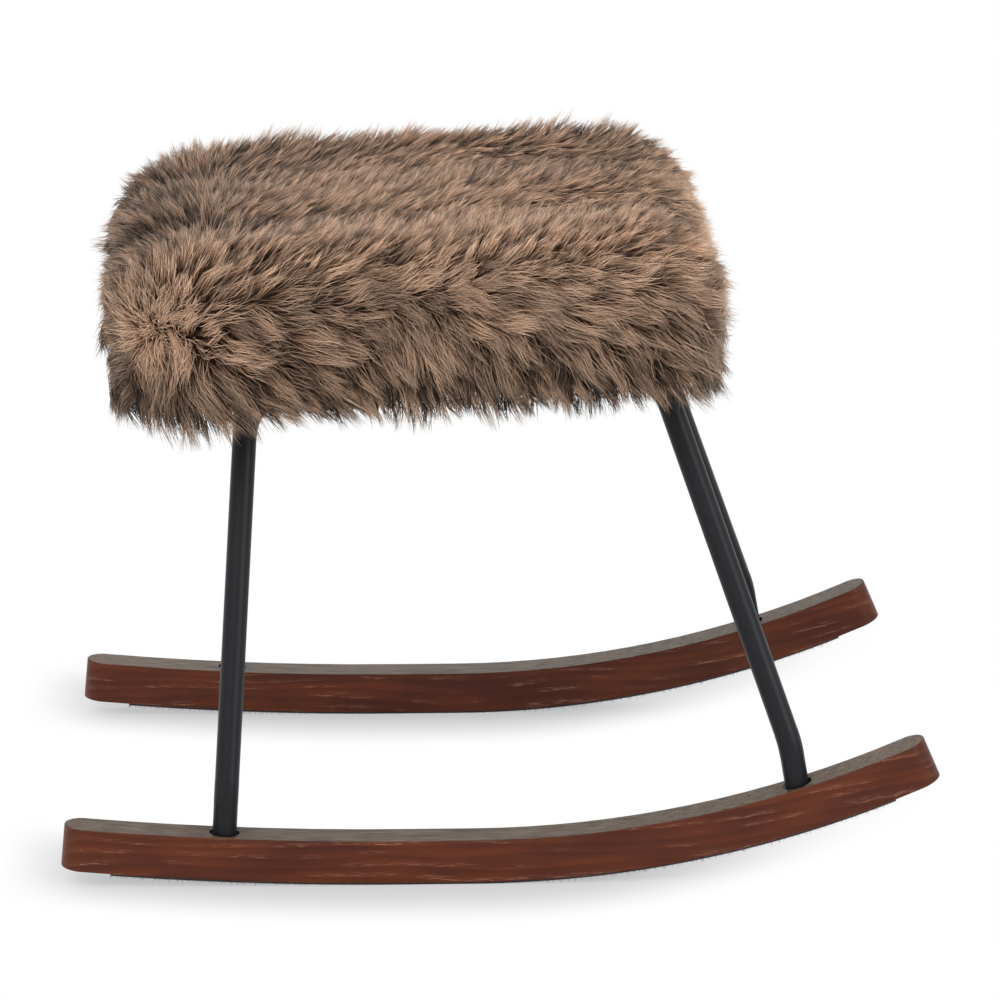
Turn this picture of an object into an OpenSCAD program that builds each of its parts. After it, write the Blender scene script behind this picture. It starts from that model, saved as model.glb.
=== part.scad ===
// Rocking footstool: a long-pile cushion on two bent steel side frames and two curved wooden rockers.
// Lengths are in millimetres. +X is the front, where the rockers curve up most, and +Z is up.
// The origin is on the floor, under the middle of the rockers, and the two sides mirror each other in Y.

/* [Rockers] */
// Length of a rocker from tip to tip
rocker_l = 581; // [520:1:640]
// Width of a rocker, which is also the diameter of its half-round ends
rocker_w = 28; // [26:0.5:36]
// Thickness of a rocker from its top to its underside
rocker_t = 29; // [27:0.5:34]
// Distance between the middles of the two rockers
rocker_spacing = 398; // [360:1:440]
// Radius of the underside ahead of the flat stretch
front_r = 743; // [690:1:900]
// Radius of the underside behind the flat stretch
rear_r = 2226; // [1600:1:3000]
// Length of the flat stretch that the stool rests on
flat_l = 48; // [30:1:70]
// Distance of the middle of the flat stretch behind the middle of the rocker
flat_back = 42; // [30:1:54]
// Rounding of the long edges of a rocker
edge_r = 1; // [0.75:0.25:4]

/* [Felt strips] */
// Width of the felt strip
felt_w = 21; // [15:0.5:24]
// Thickness of the felt strip
felt_t = 2.5; // [2:0.1:4]
// Depth of the groove that the felt is glued into
felt_groove = 1; // [0.5:0.1:1.5]
// Distance from the end of the felt to the tip of the rocker, along the curve
felt_end_gap = 32; // [20:1:60]

/* [Side frames] */
// Outside diameter of the frame tube
tube_d = 16; // [14:0.5:18]
// Wall of the frame tube
tube_wall = 1.5; // [1.2:0.1:2]
// Distance of the rear foot behind the middle of the rocker
rear_foot = 182.5; // [165:0.5:200]
// Distance of the front foot ahead of the middle of the rocker
front_foot = 196; // [180:0.5:210]
// Forward lean of the rear foot in its socket, in degrees
rear_foot_lean = 3.3; // [0:0.1:6]
// Backward lean of the front foot in its socket, in degrees
front_foot_lean = 10; // [7:0.1:14]
// Straight length of a foot from the rocker's top to the corner of its bend
foot_l = 28; // [22:0.5:36]
// Radius of the bend above a foot, along the middle of the tube
foot_bend_r = 45; // [35:1:55]
// Radius of the bend between a leg and its rail, along the middle of the tube
rail_bend_r = 32; // [28:1:36]
// Distance between the two rails under the seat
rail_spacing = 240; // [220:1:260]
// Distance of the rail's front corner behind the front edge of the cushion
rail_front_in = 45; // [43:0.5:60]
// Distance of the rail's rear corner ahead of the rear edge of the cushion
rail_rear_in = 94; // [80:1:110]
// Diameter of the two tubes that cross from rail to rail
cross_d = 14; // [12:0.5:15]

/* [Foot sockets] */
// Diameter of the socket in the rocker
socket_d = 20; // [19:0.25:22]
// Wood left under the socket
socket_web = 5; // [4:0.25:6]
// Depth of the counterbore under a foot
counterbore_depth = 7; // [6.5:0.1:8]
// Diameter of the counterbore under a foot
counterbore_d = 14; // [13.5:0.25:15]
// Distance of the top of a bush below the top of the rocker
bush_recess = 1.5; // [1:0.1:3]

/* [Seat] */
// Length of the cushion over the pile, along the rockers
cushion_l = 412; // [380:1:440]
// Width of the cushion over the pile, across the rockers
cushion_w = 426; // [400:1:440]
// Height of the underside of the seat board above the floor, in the middle of the seat
seat_h = 330.5; // [300:0.5:380]
// Distance of the middle of the seat behind the middle of the rockers
seat_back = 54; // [44:1:64]
// Tilt of the seat, front up, in degrees
seat_tilt = 2.5; // [0:0.1:5]
// Thickness of the plywood seat board
board_t = 12; // [11:0.5:16]
// Height of the cushion's ridge above the underside of the seat board
cushion_h = 99.5; // [92:0.5:120]
// Thickness of the cover, hide and pile together
pile_t = 20; // [16:0.5:22]
// Distance that the pile hangs below the seat board
skirt_h = 17.5; // [14:0.5:20]
// Distance from the outer edge of the cushion to the inner edge of the turned-under cover
turn_under = 34; // [32:0.5:36]
// Rise of the top towards the front beyond the tilt of the seat, in degrees
wedge_tilt = 0.3; // [0:0.1:3]
// Radius of the roll along the top edge of the cushion
roll_r = 44; // [36:1:50]
// Depth of the furrow behind the roll on the right-hand side
right_furrow = 9; // [0:0.5:12]
// Depth of the furrow on the left-hand side
left_furrow = 5; // [0:0.5:10]
// Distance of the right-hand furrow from the middle of the seat
right_furrow_y = 95; // [80:1:110]
// Distance of the left-hand furrow from the middle of the seat
left_furrow_y = 65; // [50:1:90]
// Half width of a furrow
furrow_w = 38; // [30:1:50]
// Distance that the sides of the cushion draw in between its corners
draw_in = 3; // [0:0.5:5]
// Distance that the front of the cushion leans in at its top
front_lean = 8; // [0:0.5:12]
// Distance that the rear of the cushion leans in at its top
rear_lean = 2; // [0:0.5:12]

/* [Fixings] */
// Diameter of the bolts and screws
bolt_d = 6; // [5:0.5:6]
// Diameter of a bolt or screw head
head_d = 10.5; // [9:0.25:11]
// Height of a bolt or screw head
head_h = 3.2; // [2.5:0.1:3.4]
// Diameter of a washer
washer_d = 12; // [11.5:0.25:13]
// Thickness of a washer
washer_t = 1.2; // [0.8:0.1:1.4]
// Length of thread that a rocker bolt has in the plug in the tube
plug_grip = 12; // [9:0.5:13]
// Length of the threaded plug in the end of a tube
plug_l = 15; // [13:0.5:20]
// Thickness of the tabs that carry the seat
tab_t = 3; // [2.5:0.1:4]
// Width of a tab along the rail
tab_w = 30; // [26:1:34]
// Distance of a tab's screw inwards from the middle of the rail
tab_reach = 20; // [18:0.5:24]
// Thickness of the fabric under the seat board
dust_t = 0.8; // [0.5:0.1:1.5]
// Diameter of the flange of a T-nut
t_nut_flange_d = 19; // [17:0.5:22]
// Diameter of the barrel of a T-nut
t_nut_barrel_d = 8; // [7.5:0.25:9]
// Number of staples along each side of the seat
staples_per_side = 8; // [5:1:10]
// Length of the crown of a staple
staple_l = 10; // [8:0.5:12]

/* [Hidden] */

// Colours
stained_ash = "#6b3626";
felt_black = "#17181d";
satin_black = "#1c1c1f";
nylon_black = "#101012";
zinc_plate = "#a9adb0";
birch_ply = "#c9a878";
foam_cream = "#e6ddc4";
fur_taupe = "#82695a";
fabric_black = "#202022";

// Clearances and small sizes
fit_gap = 0.05;
glue_gap = 0.1;
weld_gap = 0.15;
tip_swell = 0.03;
bend_swell = 0.1;
lap_l = 1;
soft_gap = 0.3;
hole_gap = 0.5;
overrun = 4;
tab_margin = 2;
cross_margin = 8;
t_nut_flange_t = 1.5;
t_nut_end_gap = 1;
screw_end_gap = 2;
hex_d = 4.6;
hex_depth = 2;
wire_w = 1.2;
wire_t = 0.7;
staple_leg = 6;
staple_in = 8;
dust_edge_gap = 1.5;
staple_corner_gap = 75;
lip_round = 6.5;
right = -1;
left = 1;
arc_facets = 720;
round_facets = 64;

// Rocker
rear_x = -(flat_back + flat_l / 2);
front_x = flat_l / 2 - flat_back;
lift = felt_t - felt_groove;
tip_reach = rocker_w / 2 + tip_swell - edge_r;

// Angle through which an arc turns to bring its rounded tip to a distance from its start
function tip_angle(radius, reach) =
    let (edge_radius = radius + tip_swell - edge_r)
    asin((reach - edge_r) / norm([edge_radius, tip_reach])) - atan2(tip_reach, edge_radius);
front_angle = tip_angle(front_r, rocker_l / 2 - front_x);
rear_angle = tip_angle(rear_r, rocker_l / 2 + rear_x);
function felt_angle(angle, radius) = angle - (felt_end_gap - rocker_w / 2) / radius * 180 / PI;
function lap_angle(radius) = lap_l / radius * 180 / PI;

// Height of the rocker's top at a distance ahead of its middle
function arc_top(radius, run) = radius - sqrt(pow(radius - rocker_t, 2) - run * run);
function top_z(x) =
    lift + (x > front_x ? arc_top(front_r, x - front_x) : x < rear_x ? arc_top(rear_r, rear_x - x) : rocker_t);

// Feet: the distance ahead of the middle and the forward lean
rear_leg = [-rear_foot, rear_foot_lean];
front_leg = [front_foot, -front_foot_lean];
socket_depth = rocker_t - socket_web - counterbore_depth;
tube_r = tube_d / 2;
bore_r = tube_r - tube_wall;
function foot_point(leg, side, along) = [
    leg[0] + along * sin(leg[1]),
    side * rocker_spacing / 2,
    top_z(leg[0]) + along * cos(leg[1])
];

// Seat: places are ahead of the middle of the board, to its left, and above its underside
function seat_point(place) = [
    place.x * cos(seat_tilt) - place.z * sin(seat_tilt) - seat_back,
    place.y,
    place.x * sin(seat_tilt) + place.z * cos(seat_tilt) + seat_h
];
rail_y = rail_spacing / 2;
rail_z = -(dust_t + tab_t + tube_r);
rail_front = cushion_l / 2 - rail_front_in;
rail_rear = rail_rear_in - cushion_l / 2;

// Middle line of a side frame, from the rear socket over the rail to the front socket
function frame_path(side) = [
    foot_point(rear_leg, side, -socket_depth),
    foot_point(rear_leg, side, foot_l),
    seat_point([rail_rear, side * rail_y, rail_z]),
    seat_point([rail_front, side * rail_y, rail_z]),
    foot_point(front_leg, side, foot_l),
    foot_point(front_leg, side, -socket_depth)
];
bend_radii = [0, foot_bend_r, rail_bend_r, rail_bend_r, foot_bend_r, 0];

function unit(v) = v / norm(v);
function bend_angle(path, i) = acos(unit(path[i] - path[i - 1]) * unit(path[i + 1] - path[i]));
function bend_reach(path, radii, i) =
    i == 0 || i == len(path) - 1 ? 0 : radii[i] * tan(bend_angle(path, i) / 2);

// Tabs stand beside the bends, and the cross tubes beside the tabs
function rail_bend_reach(i) = bend_reach(frame_path(right), bend_radii, i);
rear_tab_x = rail_rear + rail_bend_reach(2) + tab_margin + tab_w / 2;
front_tab_x = rail_front - rail_bend_reach(3) - tab_margin - tab_w / 2;
cross_step = tab_w / 2 + cross_margin + cross_d / 2;
screw_y = rail_y - tab_reach;
tab_z = -(dust_t + tab_t);

// Cushion: outline of the cushion seen from above, an inset inside its outer edge
outline_points = 44;
squareness = 6;
corner_bias = 7;
function outline_angle(i) =
    let (even_angle = 360 * i / outline_points)
    even_angle + corner_bias * sin(4 * even_angle);
function outline_reach(angle) =
    pow(pow(abs(cos(angle)), squareness) + pow(abs(sin(angle)), squareness), -1 / squareness);
function outline_point(angle, inset) = [
    (cushion_l / 2 - inset) * cos(angle) * outline_reach(angle),
    (cushion_w / 2 - inset) * sin(angle) * outline_reach(angle)
];
function outline(inset) =
    [for (i = [0:outline_points - 1]) outline_point(outline_angle(i), inset)];

// Height of the pile over the seat board, with a furrow behind each roll, deeper near the ends
furrow_shares = [0.45, 0.55];
function furrow(y, middle) = exp(-pow((y - middle) / furrow_w, 2));
function crown_z(x, y) =
    cushion_h + x * tan(wedge_tilt)
    - (right_furrow * furrow(y, -right_furrow_y) + left_furrow * furrow(y, left_furrow_y))
    * (furrow_shares[0] + furrow_shares[1] * pow(2 * x / cushion_l, 2));

// Fall of a rounded edge at a distance inside it
function edge_fall(inset, radius) =
    inset >= radius ? 0 : radius - sqrt(radius * radius - pow(radius - inset, 2));

// A place in the cushion, moved towards the middle by the lean of the front or the rear
function leaned(x, y, z) =
    let (lean = x > 0 ? front_lean : rear_lean)
    [x * (1 - 2 * lean / cushion_l * max(0, z) / cushion_h), y, z];

// A level ring, drawn in between the corners by a share of draw_in
function level_ring(inset, z, draw_share) = [
    for (i = [0:outline_points - 1])
        let (angle = outline_angle(i))
        let (p = outline_point(angle, inset + draw_share * draw_in * pow(cos(2 * angle), 2)))
        leaned(p.x, p.y, z)
];
// A ring on the top, under a depth of pile
function top_ring(inset, depth) = [
    for (i = [0:outline_points - 1])
        let (angle = outline_angle(i))
        let (p = outline_point(angle, inset + depth + draw_in * pow(cos(2 * angle), 2)))
        leaned(p.x, p.y, crown_z(p.x, p.y) - depth - edge_fall(inset, roll_r - depth))
];
top_shares = [0.06, 0.2, 0.48, 1];
crown_shares = [0.36, 0.57, 0.78];
crown_reach = min(cushion_l, cushion_w) / 2;
function top_rings(depth) = [
    for (share = top_shares) top_ring(share * (roll_r - depth), depth),
    for (share = crown_shares) top_ring(share * crown_reach - depth, depth)
];
function top_pole(depth) = [0, 0, crown_z(0, 0) - depth];
function reversed(list) = [for (i = [len(list) - 1:-1:0]) list[i]];

// Skirt and sides of the cover: shares of the skirt's height and of the cushion's
skirt_round_share = 0.37;
skirt_inset_shares = [0.8, 0.4, 0.14];
side_shares = [0.06, 0.3, 0.52];
side_draws = [0.5, 1, 1];
function side_rings(inset) = [for (i = [1:2]) level_ring(inset, side_shares[i] * cushion_h, side_draws[i])];

// A closed skin over rings of points, from a first pole to a last one
module closed_form(first, rings, last) {
    n = outline_points;
    top = (len(rings) - 1) * n + 1;
    points = concat([first], [for (ring = rings) each ring], [last]);
    first_fan = [for (i = [0:n - 1]) [0, 1 + i, 1 + (i + 1) % n]];
    last_fan = [for (i = [0:n - 1]) [top + i, top + n, top + (i + 1) % n]];
    bands = [
        for (start = [1:n:top - n], i = [0:n - 1])
            let (a = start + i)
            let (b = start + (i + 1) % n)
            each [[a, a + n, b + n], [a, b + n, b]]
    ];
    polyhedron(points = points, faces = concat(first_fan, bands, last_fan));
}

// Places
module at_foot(leg, side) {
    translate(foot_point(leg, side, 0))
        rotate([0, leg[1], 0])
            children();
}
module at_feet() {
    for (side = [right, left], leg = [rear_leg, front_leg])
        at_foot(leg, side)
            children();
}
module on_seat() {
    translate(seat_point([0, 0, 0]))
        rotate([0, -seat_tilt, 0])
            children();
}
module at_tabs() {
    for (side = [right, left], x = [rear_tab_x, front_tab_x])
        translate([x, side * screw_y, 0])
            mirror([0, side == left ? 1 : 0, 0])
                children();
}
module at_staples() {
    inset = turn_under + dust_edge_gap + staple_in;
    for (turn = [0, 90, 180, 270]) {
        along = turn % 180 == 0 ? cushion_w : cushion_l;
        across = turn % 180 == 0 ? cushion_l : cushion_w;
        span = along - 2 * staple_corner_gap;
        rotate(turn)
            for (i = [0:staples_per_side - 1])
                translate([across / 2 - inset, span * ((i + 0.5) / staples_per_side - 0.5), 0])
                    children();
    }
}
module upright(radius, bottom, top) {
    translate([0, 0, bottom])
        cylinder(r = radius, h = top - bottom, $fn = round_facets);
}

// Rockers: a bar with eased edges, straight over the flat stretch and bent to an arc at each side
module bar_section(width, thickness, easing) {
    if (easing > 0) {
        square([thickness - 2 * easing, width], center = true);
        square([thickness, width - 2 * easing], center = true);
        for (x = [-1, 1], y = [-1, 1])
            translate([x * (thickness / 2 - easing), y * (width / 2 - easing)])
                circle(r = easing, $fn = round_facets);
    } else {
        square([thickness, width], center = true);
    }
}
module half_section() {
    half_w = rocker_w / 2 + tip_swell;
    half_t = rocker_t / 2 + tip_swell;
    translate([0, -half_t])
        square([half_w - edge_r, 2 * half_t]);
    translate([0, edge_r - half_t])
        square([half_w, 2 * (half_t - edge_r)]);
    for (y = [edge_r - half_t, half_t - edge_r])
        translate([half_w - edge_r, y])
            circle(r = edge_r, $fn = round_facets);
}
module bar_tip(angle, middle_r) {
    rotate(angle)
        translate([middle_r, 0, 0])
            rotate([0, 90, 0])
                rotate_extrude(angle = 180, $fn = 2 * round_facets)
                    half_section();
}
// An arc from a start on the underside, with its inner and outer radius
module bent_bar(angle, inner_r, outer_r, width, easing) {
    rotate_extrude(angle = angle, $fn = arc_facets)
        translate([(inner_r + outer_r) / 2, 0])
            bar_section(width, outer_r - inner_r, easing);
}
module straight_bar(inner_z, outer_z, width, easing) {
    translate([rear_x, 0, (inner_z + outer_z) / 2])
        rotate([90, 0, 90])
            linear_extrude(flat_l)
                rotate(90)
                    bar_section(width, inner_z - outer_z, easing);
}
module front_arc_frame() {
    translate([front_x, 0, lift + front_r])
        rotate([90, 90, 0])
            children();
}
module rear_arc_frame() {
    translate([rear_x, 0, lift + rear_r])
        mirror([1, 0, 0])
            rotate([90, 90, 0])
                children();
}
module rocker_bar() {
    straight_bar(lift + rocker_t, lift, rocker_w, edge_r);
    front_arc_frame() {
        bent_bar(front_angle + lap_angle(front_r), front_r - rocker_t, front_r, rocker_w, edge_r);
        bar_tip(front_angle, front_r - rocker_t / 2);
    }
    rear_arc_frame() {
        bent_bar(rear_angle + lap_angle(rear_r), rear_r - rocker_t, rear_r, rocker_w, edge_r);
        bar_tip(rear_angle, rear_r - rocker_t / 2);
    }
}
// A strip on the underside, from a height inside the wood to a depth under it
module underside_strip(inside, below, width) {
    straight_bar(lift + inside, lift - below, width, 0);
    front_arc_frame()
        bent_bar(felt_angle(front_angle, front_r), front_r - inside, front_r + below, width, 0);
    rear_arc_frame()
        bent_bar(felt_angle(rear_angle, rear_r), rear_r - inside, rear_r + below, width, 0);
}
module foot_holes() {
    web_bottom = -(socket_depth + socket_web);
    upright(socket_d / 2, -socket_depth, overrun);
    upright((bolt_d + hole_gap) / 2, web_bottom - overrun, overrun - socket_depth);
    upright(counterbore_d / 2, web_bottom - counterbore_depth - overrun, web_bottom);
}
module rocker(side) {
    color(stained_ash)
        difference() {
            translate([0, side * rocker_spacing / 2, 0])
                rocker_bar();
            translate([0, side * rocker_spacing / 2, 0])
                underside_strip(felt_groove + glue_gap, overrun, felt_w + 2 * glue_gap);
            for (leg = [rear_leg, front_leg])
                at_foot(leg, side)
                    foot_holes();
        }
}
module rocker_right() {
    rocker(right);
}
module rocker_left() {
    rocker(left);
}

// Felt strips under the rockers, which meet the floor
module felt_strip(side) {
    color(felt_black)
        translate([0, side * rocker_spacing / 2, 0])
            underside_strip(felt_groove, lift, felt_w);
}
module felt_strip_right() {
    felt_strip(right);
}
module felt_strip_left() {
    felt_strip(left);
}

// Side frames: one tube each, bent above the feet and under the seat
module rod(from, to, radius) {
    run = to - from;
    translate(from)
        rotate([0, acos(run.z / norm(run)), atan2(run.y, run.x)])
            cylinder(r = radius, h = norm(run), $fn = round_facets);
}
module elbow(path, radii, i, radius) {
    u = unit(path[i] - path[i - 1]);
    w = unit(path[i + 1] - path[i]);
    inward = unit(w - u * (u * w));
    middle = path[i] - u * bend_reach(path, radii, i) + inward * radii[i];
    e = -inward;
    k = cross(e, u);
    multmatrix([
        [e.x, u.x, k.x, middle.x],
        [e.y, u.y, k.y, middle.y],
        [e.z, u.z, k.z, middle.z],
        [0, 0, 0, 1]
    ])
        rotate_extrude(angle = bend_angle(path, i), $fn = 3 * round_facets)
            translate([radii[i], 0])
                circle(r = radius + bend_swell, $fn = round_facets);
}
module bent_rod(path, radii, radius, extra_l) {
    last = len(path) - 1;
    for (i = [0:last - 1]) {
        u = unit(path[i + 1] - path[i]);
        from = path[i] + u * (i == 0 ? -extra_l : bend_reach(path, radii, i) - lap_l);
        to = path[i + 1] - u * (i == last - 1 ? -extra_l : bend_reach(path, radii, i + 1) - lap_l);
        rod(from, to, radius);
    }
    for (i = [1:last - 1])
        elbow(path, radii, i, radius);
}
module side_frame(side) {
    color(satin_black)
        difference() {
            bent_rod(frame_path(side), bend_radii, tube_r, 0);
            bent_rod(frame_path(side), bend_radii, bore_r, overrun);
        }
}
module side_frame_right() {
    side_frame(right);
}
module side_frame_left() {
    side_frame(left);
}

// Cross tubes, coped to the rails that they are welded to
module cross_tube(x) {
    color(satin_black)
        on_seat()
            difference() {
                rod([x, -rail_y, rail_z], [x, rail_y, rail_z], cross_d / 2);
                rod([x, -rail_y - overrun, rail_z], [x, rail_y + overrun, rail_z], cross_d / 2 - tube_wall);
                for (side = [right, left])
                    rod(
                        [x - cross_d, side * rail_y, rail_z],
                        [x + cross_d, side * rail_y, rail_z],
                        tube_r + weld_gap
                    );
            }
}
module cross_tube_rear() {
    cross_tube(rear_tab_x + cross_step);
}
module cross_tube_front() {
    cross_tube(front_tab_x - cross_step);
}

// Foot fixings: a nylon bush round each tube, a threaded plug in it, and a bolt with a washer from below
module leg_bushes() {
    color(nylon_black)
        at_feet()
            difference() {
                upright(socket_d / 2 - glue_gap, -socket_depth, -bush_recess);
                upright(tube_r + fit_gap, -socket_depth - overrun, overrun);
            }
}
module leg_plugs() {
    color(zinc_plate)
        at_feet()
            difference() {
                upright(bore_r - fit_gap, -socket_depth, plug_l - socket_depth);
                upright(bolt_d / 2 + fit_gap, -socket_depth - overrun, plug_l - socket_depth + overrun);
            }
}
module headed_screw(seat_z, tip_z) {
    difference() {
        union() {
            upright(head_d / 2, seat_z - head_h, seat_z);
            upright(bolt_d / 2, seat_z - head_h / 2, tip_z);
        }
        translate([0, 0, seat_z - head_h - overrun])
            cylinder(d = hex_d, h = hex_depth + overrun, $fn = 6);
    }
}
module washer(top) {
    difference() {
        upright(washer_d / 2, top - washer_t, top);
        upright((bolt_d + hole_gap) / 2, top - washer_t - overrun, top + overrun);
    }
}
module rocker_bolts() {
    color(zinc_plate)
        at_feet()
            headed_screw(-(socket_depth + socket_web + washer_t), plug_grip - socket_depth);
}
module rocker_washers() {
    color(zinc_plate)
        at_feet()
            washer(-(socket_depth + socket_web));
}

// Seat fixings: a tab welded on the rail at each corner, a screw, a washer and a T-nut in the board
module mounting_tabs() {
    color(satin_black)
        on_seat()
            at_tabs()
                difference() {
                    union() {
                        upright(tab_w / 2, tab_z, -dust_t);
                        translate([-tab_w / 2, -tab_reach, tab_z])
                            cube([tab_w, tab_reach, tab_t]);
                    }
                    upright((bolt_d + hole_gap) / 2, tab_z - overrun, overrun);
                }
}
module seat_screws() {
    color(zinc_plate)
        on_seat()
            at_tabs()
                headed_screw(tab_z - washer_t, board_t - screw_end_gap);
}
module seat_washers() {
    color(zinc_plate)
        on_seat()
            at_tabs()
                washer(tab_z);
}
module t_nuts() {
    color(zinc_plate)
        on_seat()
            at_tabs()
                difference() {
                    union() {
                        upright(t_nut_flange_d / 2, board_t - t_nut_flange_t, board_t);
                        upright(t_nut_barrel_d / 2, t_nut_end_gap, board_t - t_nut_flange_t / 2);
                    }
                    upright(bolt_d / 2 + fit_gap, -overrun, board_t + overrun);
                }
}

// Seat board, with holes for the T-nuts and slots that the staples have cut
module staple_slots() {
    slot = [wire_w + 2 * fit_gap, staple_l + 2 * fit_gap, staple_leg + dust_t + overrun];
    at_staples()
        translate([-slot.x / 2, -slot.y / 2, -dust_t - overrun])
            cube(slot);
}
module seat_board() {
    color(birch_ply)
        on_seat()
            difference() {
                linear_extrude(board_t)
                    polygon(outline(pile_t + soft_gap));
                at_tabs() {
                    upright(t_nut_barrel_d / 2 + fit_gap, -overrun, board_t);
                    upright(t_nut_flange_d / 2 + glue_gap, board_t - t_nut_flange_t, board_t + overrun);
                }
                staple_slots();
            }
}

// Foam pad on the board, under the crown of the cover
module foam_pad() {
    depth = pile_t + soft_gap;
    bottom_z = board_t + soft_gap;
    rings = concat(
        [level_ring(depth + soft_gap, bottom_z, side_draws[0])],
        side_rings(depth),
        top_rings(depth)
    );
    color(foam_cream)
        on_seat()
            closed_form([0, 0, bottom_z], rings, top_pole(depth));
}

// Fur cover: hide and pile as one thick skin, pulled over the foam and turned under the board
module fur_cover() {
    skirt_round = skirt_round_share * skirt_h;
    inside = concat(
        reversed(top_rings(pile_t)),
        reversed(side_rings(pile_t)),
        [
            level_ring(pile_t, board_t, 0),
            level_ring(pile_t, -soft_gap, 0),
            level_ring(turn_under, -soft_gap, 0)
        ]
    );
    skirt = [
        level_ring(turn_under, skirt_round - skirt_h, 0),
        level_ring(skirt_inset_shares[0] * turn_under, -skirt_h, 0),
        level_ring(skirt_inset_shares[1] * turn_under, -skirt_h, 0),
        level_ring(skirt_inset_shares[2] * turn_under, -skirt_h + skirt_round, 0),
        level_ring(0, side_shares[0] * cushion_h, side_draws[0])
    ];
    rings = concat(inside, skirt, side_rings(0), top_rings(0));
    color(fur_taupe)
        on_seat()
            closed_form(top_pole(pile_t), rings, top_pole(0));
}

// Fabric under the board, with its staples
module dust_cover() {
    color(fabric_black)
        on_seat()
            difference() {
                translate([0, 0, -dust_t])
                    linear_extrude(dust_t)
                        polygon(outline(turn_under + dust_edge_gap));
                at_tabs()
                    upright((bolt_d + hole_gap) / 2, -dust_t - overrun, overrun);
                staple_slots();
            }
}
module staples() {
    color(zinc_plate)
        on_seat()
            at_staples()
                translate([-wire_w / 2, -staple_l / 2, -dust_t - wire_t])
                    difference() {
                        cube([wire_w, staple_l, staple_leg]);
                        translate([-overrun, wire_t, wire_t])
                            cube([wire_w + 2 * overrun, staple_l - 2 * wire_t, staple_leg]);
                    }
}

rocker_right();
rocker_left();
felt_strip_right();
felt_strip_left();
side_frame_right();
side_frame_left();
cross_tube_rear();
cross_tube_front();
leg_bushes();
leg_plugs();
rocker_bolts();
rocker_washers();
mounting_tabs();
seat_screws();
seat_washers();
t_nuts();
seat_board();
foam_pad();
fur_cover();
dust_cover();
staples();
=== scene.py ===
"""Rocking footstool: a cushion in long fur on bent steel tubes and a pair of curved ash rockers.

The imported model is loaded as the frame. Its hard pieces keep their shapes and get finishes here.
The foam, the fur cover, the felt and the fabric under the seat are made here in full.
Distances are metres, in the model's frame: +X points to the front, where the rockers curve up most.
"""

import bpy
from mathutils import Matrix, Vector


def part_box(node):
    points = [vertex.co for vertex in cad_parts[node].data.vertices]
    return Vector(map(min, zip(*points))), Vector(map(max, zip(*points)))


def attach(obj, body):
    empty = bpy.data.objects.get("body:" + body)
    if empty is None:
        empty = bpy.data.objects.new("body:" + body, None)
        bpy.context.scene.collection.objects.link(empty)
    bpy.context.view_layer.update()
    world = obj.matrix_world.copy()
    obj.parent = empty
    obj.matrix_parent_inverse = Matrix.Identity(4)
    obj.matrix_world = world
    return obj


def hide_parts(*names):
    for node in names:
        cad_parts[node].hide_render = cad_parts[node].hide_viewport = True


bl_info = {
    "name": "Rocking Footstool",
    "version": (1, 0, 0),
    "blender": (4, 5, 0),
    "location": "View3D > Sidebar > Footstool",
    "description": "Builds the looks of a rocking footstool around its packed model",
    "category": "Object",
}

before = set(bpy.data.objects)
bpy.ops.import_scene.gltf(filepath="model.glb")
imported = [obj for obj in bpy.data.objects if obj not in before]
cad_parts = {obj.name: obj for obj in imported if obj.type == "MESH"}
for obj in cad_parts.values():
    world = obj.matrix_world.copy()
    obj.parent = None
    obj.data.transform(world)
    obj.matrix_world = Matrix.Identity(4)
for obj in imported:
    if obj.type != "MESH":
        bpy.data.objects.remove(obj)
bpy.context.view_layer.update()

import math

import bmesh
import bpy
import numpy as np

BODY = "root"
MM = 0.001

# Seat frame: places are ahead of the middle of the seat board, to its left and above its underside
SEAT_ORIGIN = np.array([-0.054, 0.0, 0.3305])
SEAT_TILT = math.radians(2.5)
SEAT_AXES = np.array(
    [
        [math.cos(SEAT_TILT), 0.0, -math.sin(SEAT_TILT)],
        [0.0, 1.0, 0.0],
        [math.sin(SEAT_TILT), 0.0, math.cos(SEAT_TILT)],
    ]
)

# Outline of the cushion seen from above, and how its top rises to the front
COVER_POINTS = 112
SQUARENESS = 6
CORNER_BIAS = math.radians(7)
WEDGE = math.tan(math.radians(0.3))

# The furrows in its top: where they lie, and how much of their depth the middle has and the ends add
RIGHT_FURROW = -0.095
LEFT_FURROW = 0.065
FURROW_ENDS = (0.45, 0.55)

# How far out the rockers stand, and the arcs of their underside: start, way and radius
ROCKER_OUT = 0.199
ROCKER_ARCS = ((-0.018, 1, 0.743), (-0.066, -1, 2.226))

# Kinds of node that are used most
MATH = "ShaderNodeMath"
VECTOR_MATH = "ShaderNodeVectorMath"
SCATTER = "GeometryNodeDistributePointsOnFaces"
STORE = "GeometryNodeStoreNamedAttribute"


# Sizes and colours that a user would change


def length(name, description, default, low, high):
    return bpy.props.FloatProperty(
        name=name,
        description=description,
        default=default,
        min=low,
        max=high,
        unit="LENGTH",
        subtype="DISTANCE",
        precision=4,
    )


def share(name, description, default):
    return bpy.props.FloatProperty(
        name=name, description=description, default=default, min=0.0, max=1.0, subtype="FACTOR"
    )


def colour(name, description, default):
    return bpy.props.StringProperty(name=name, description=description, default=default)


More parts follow.
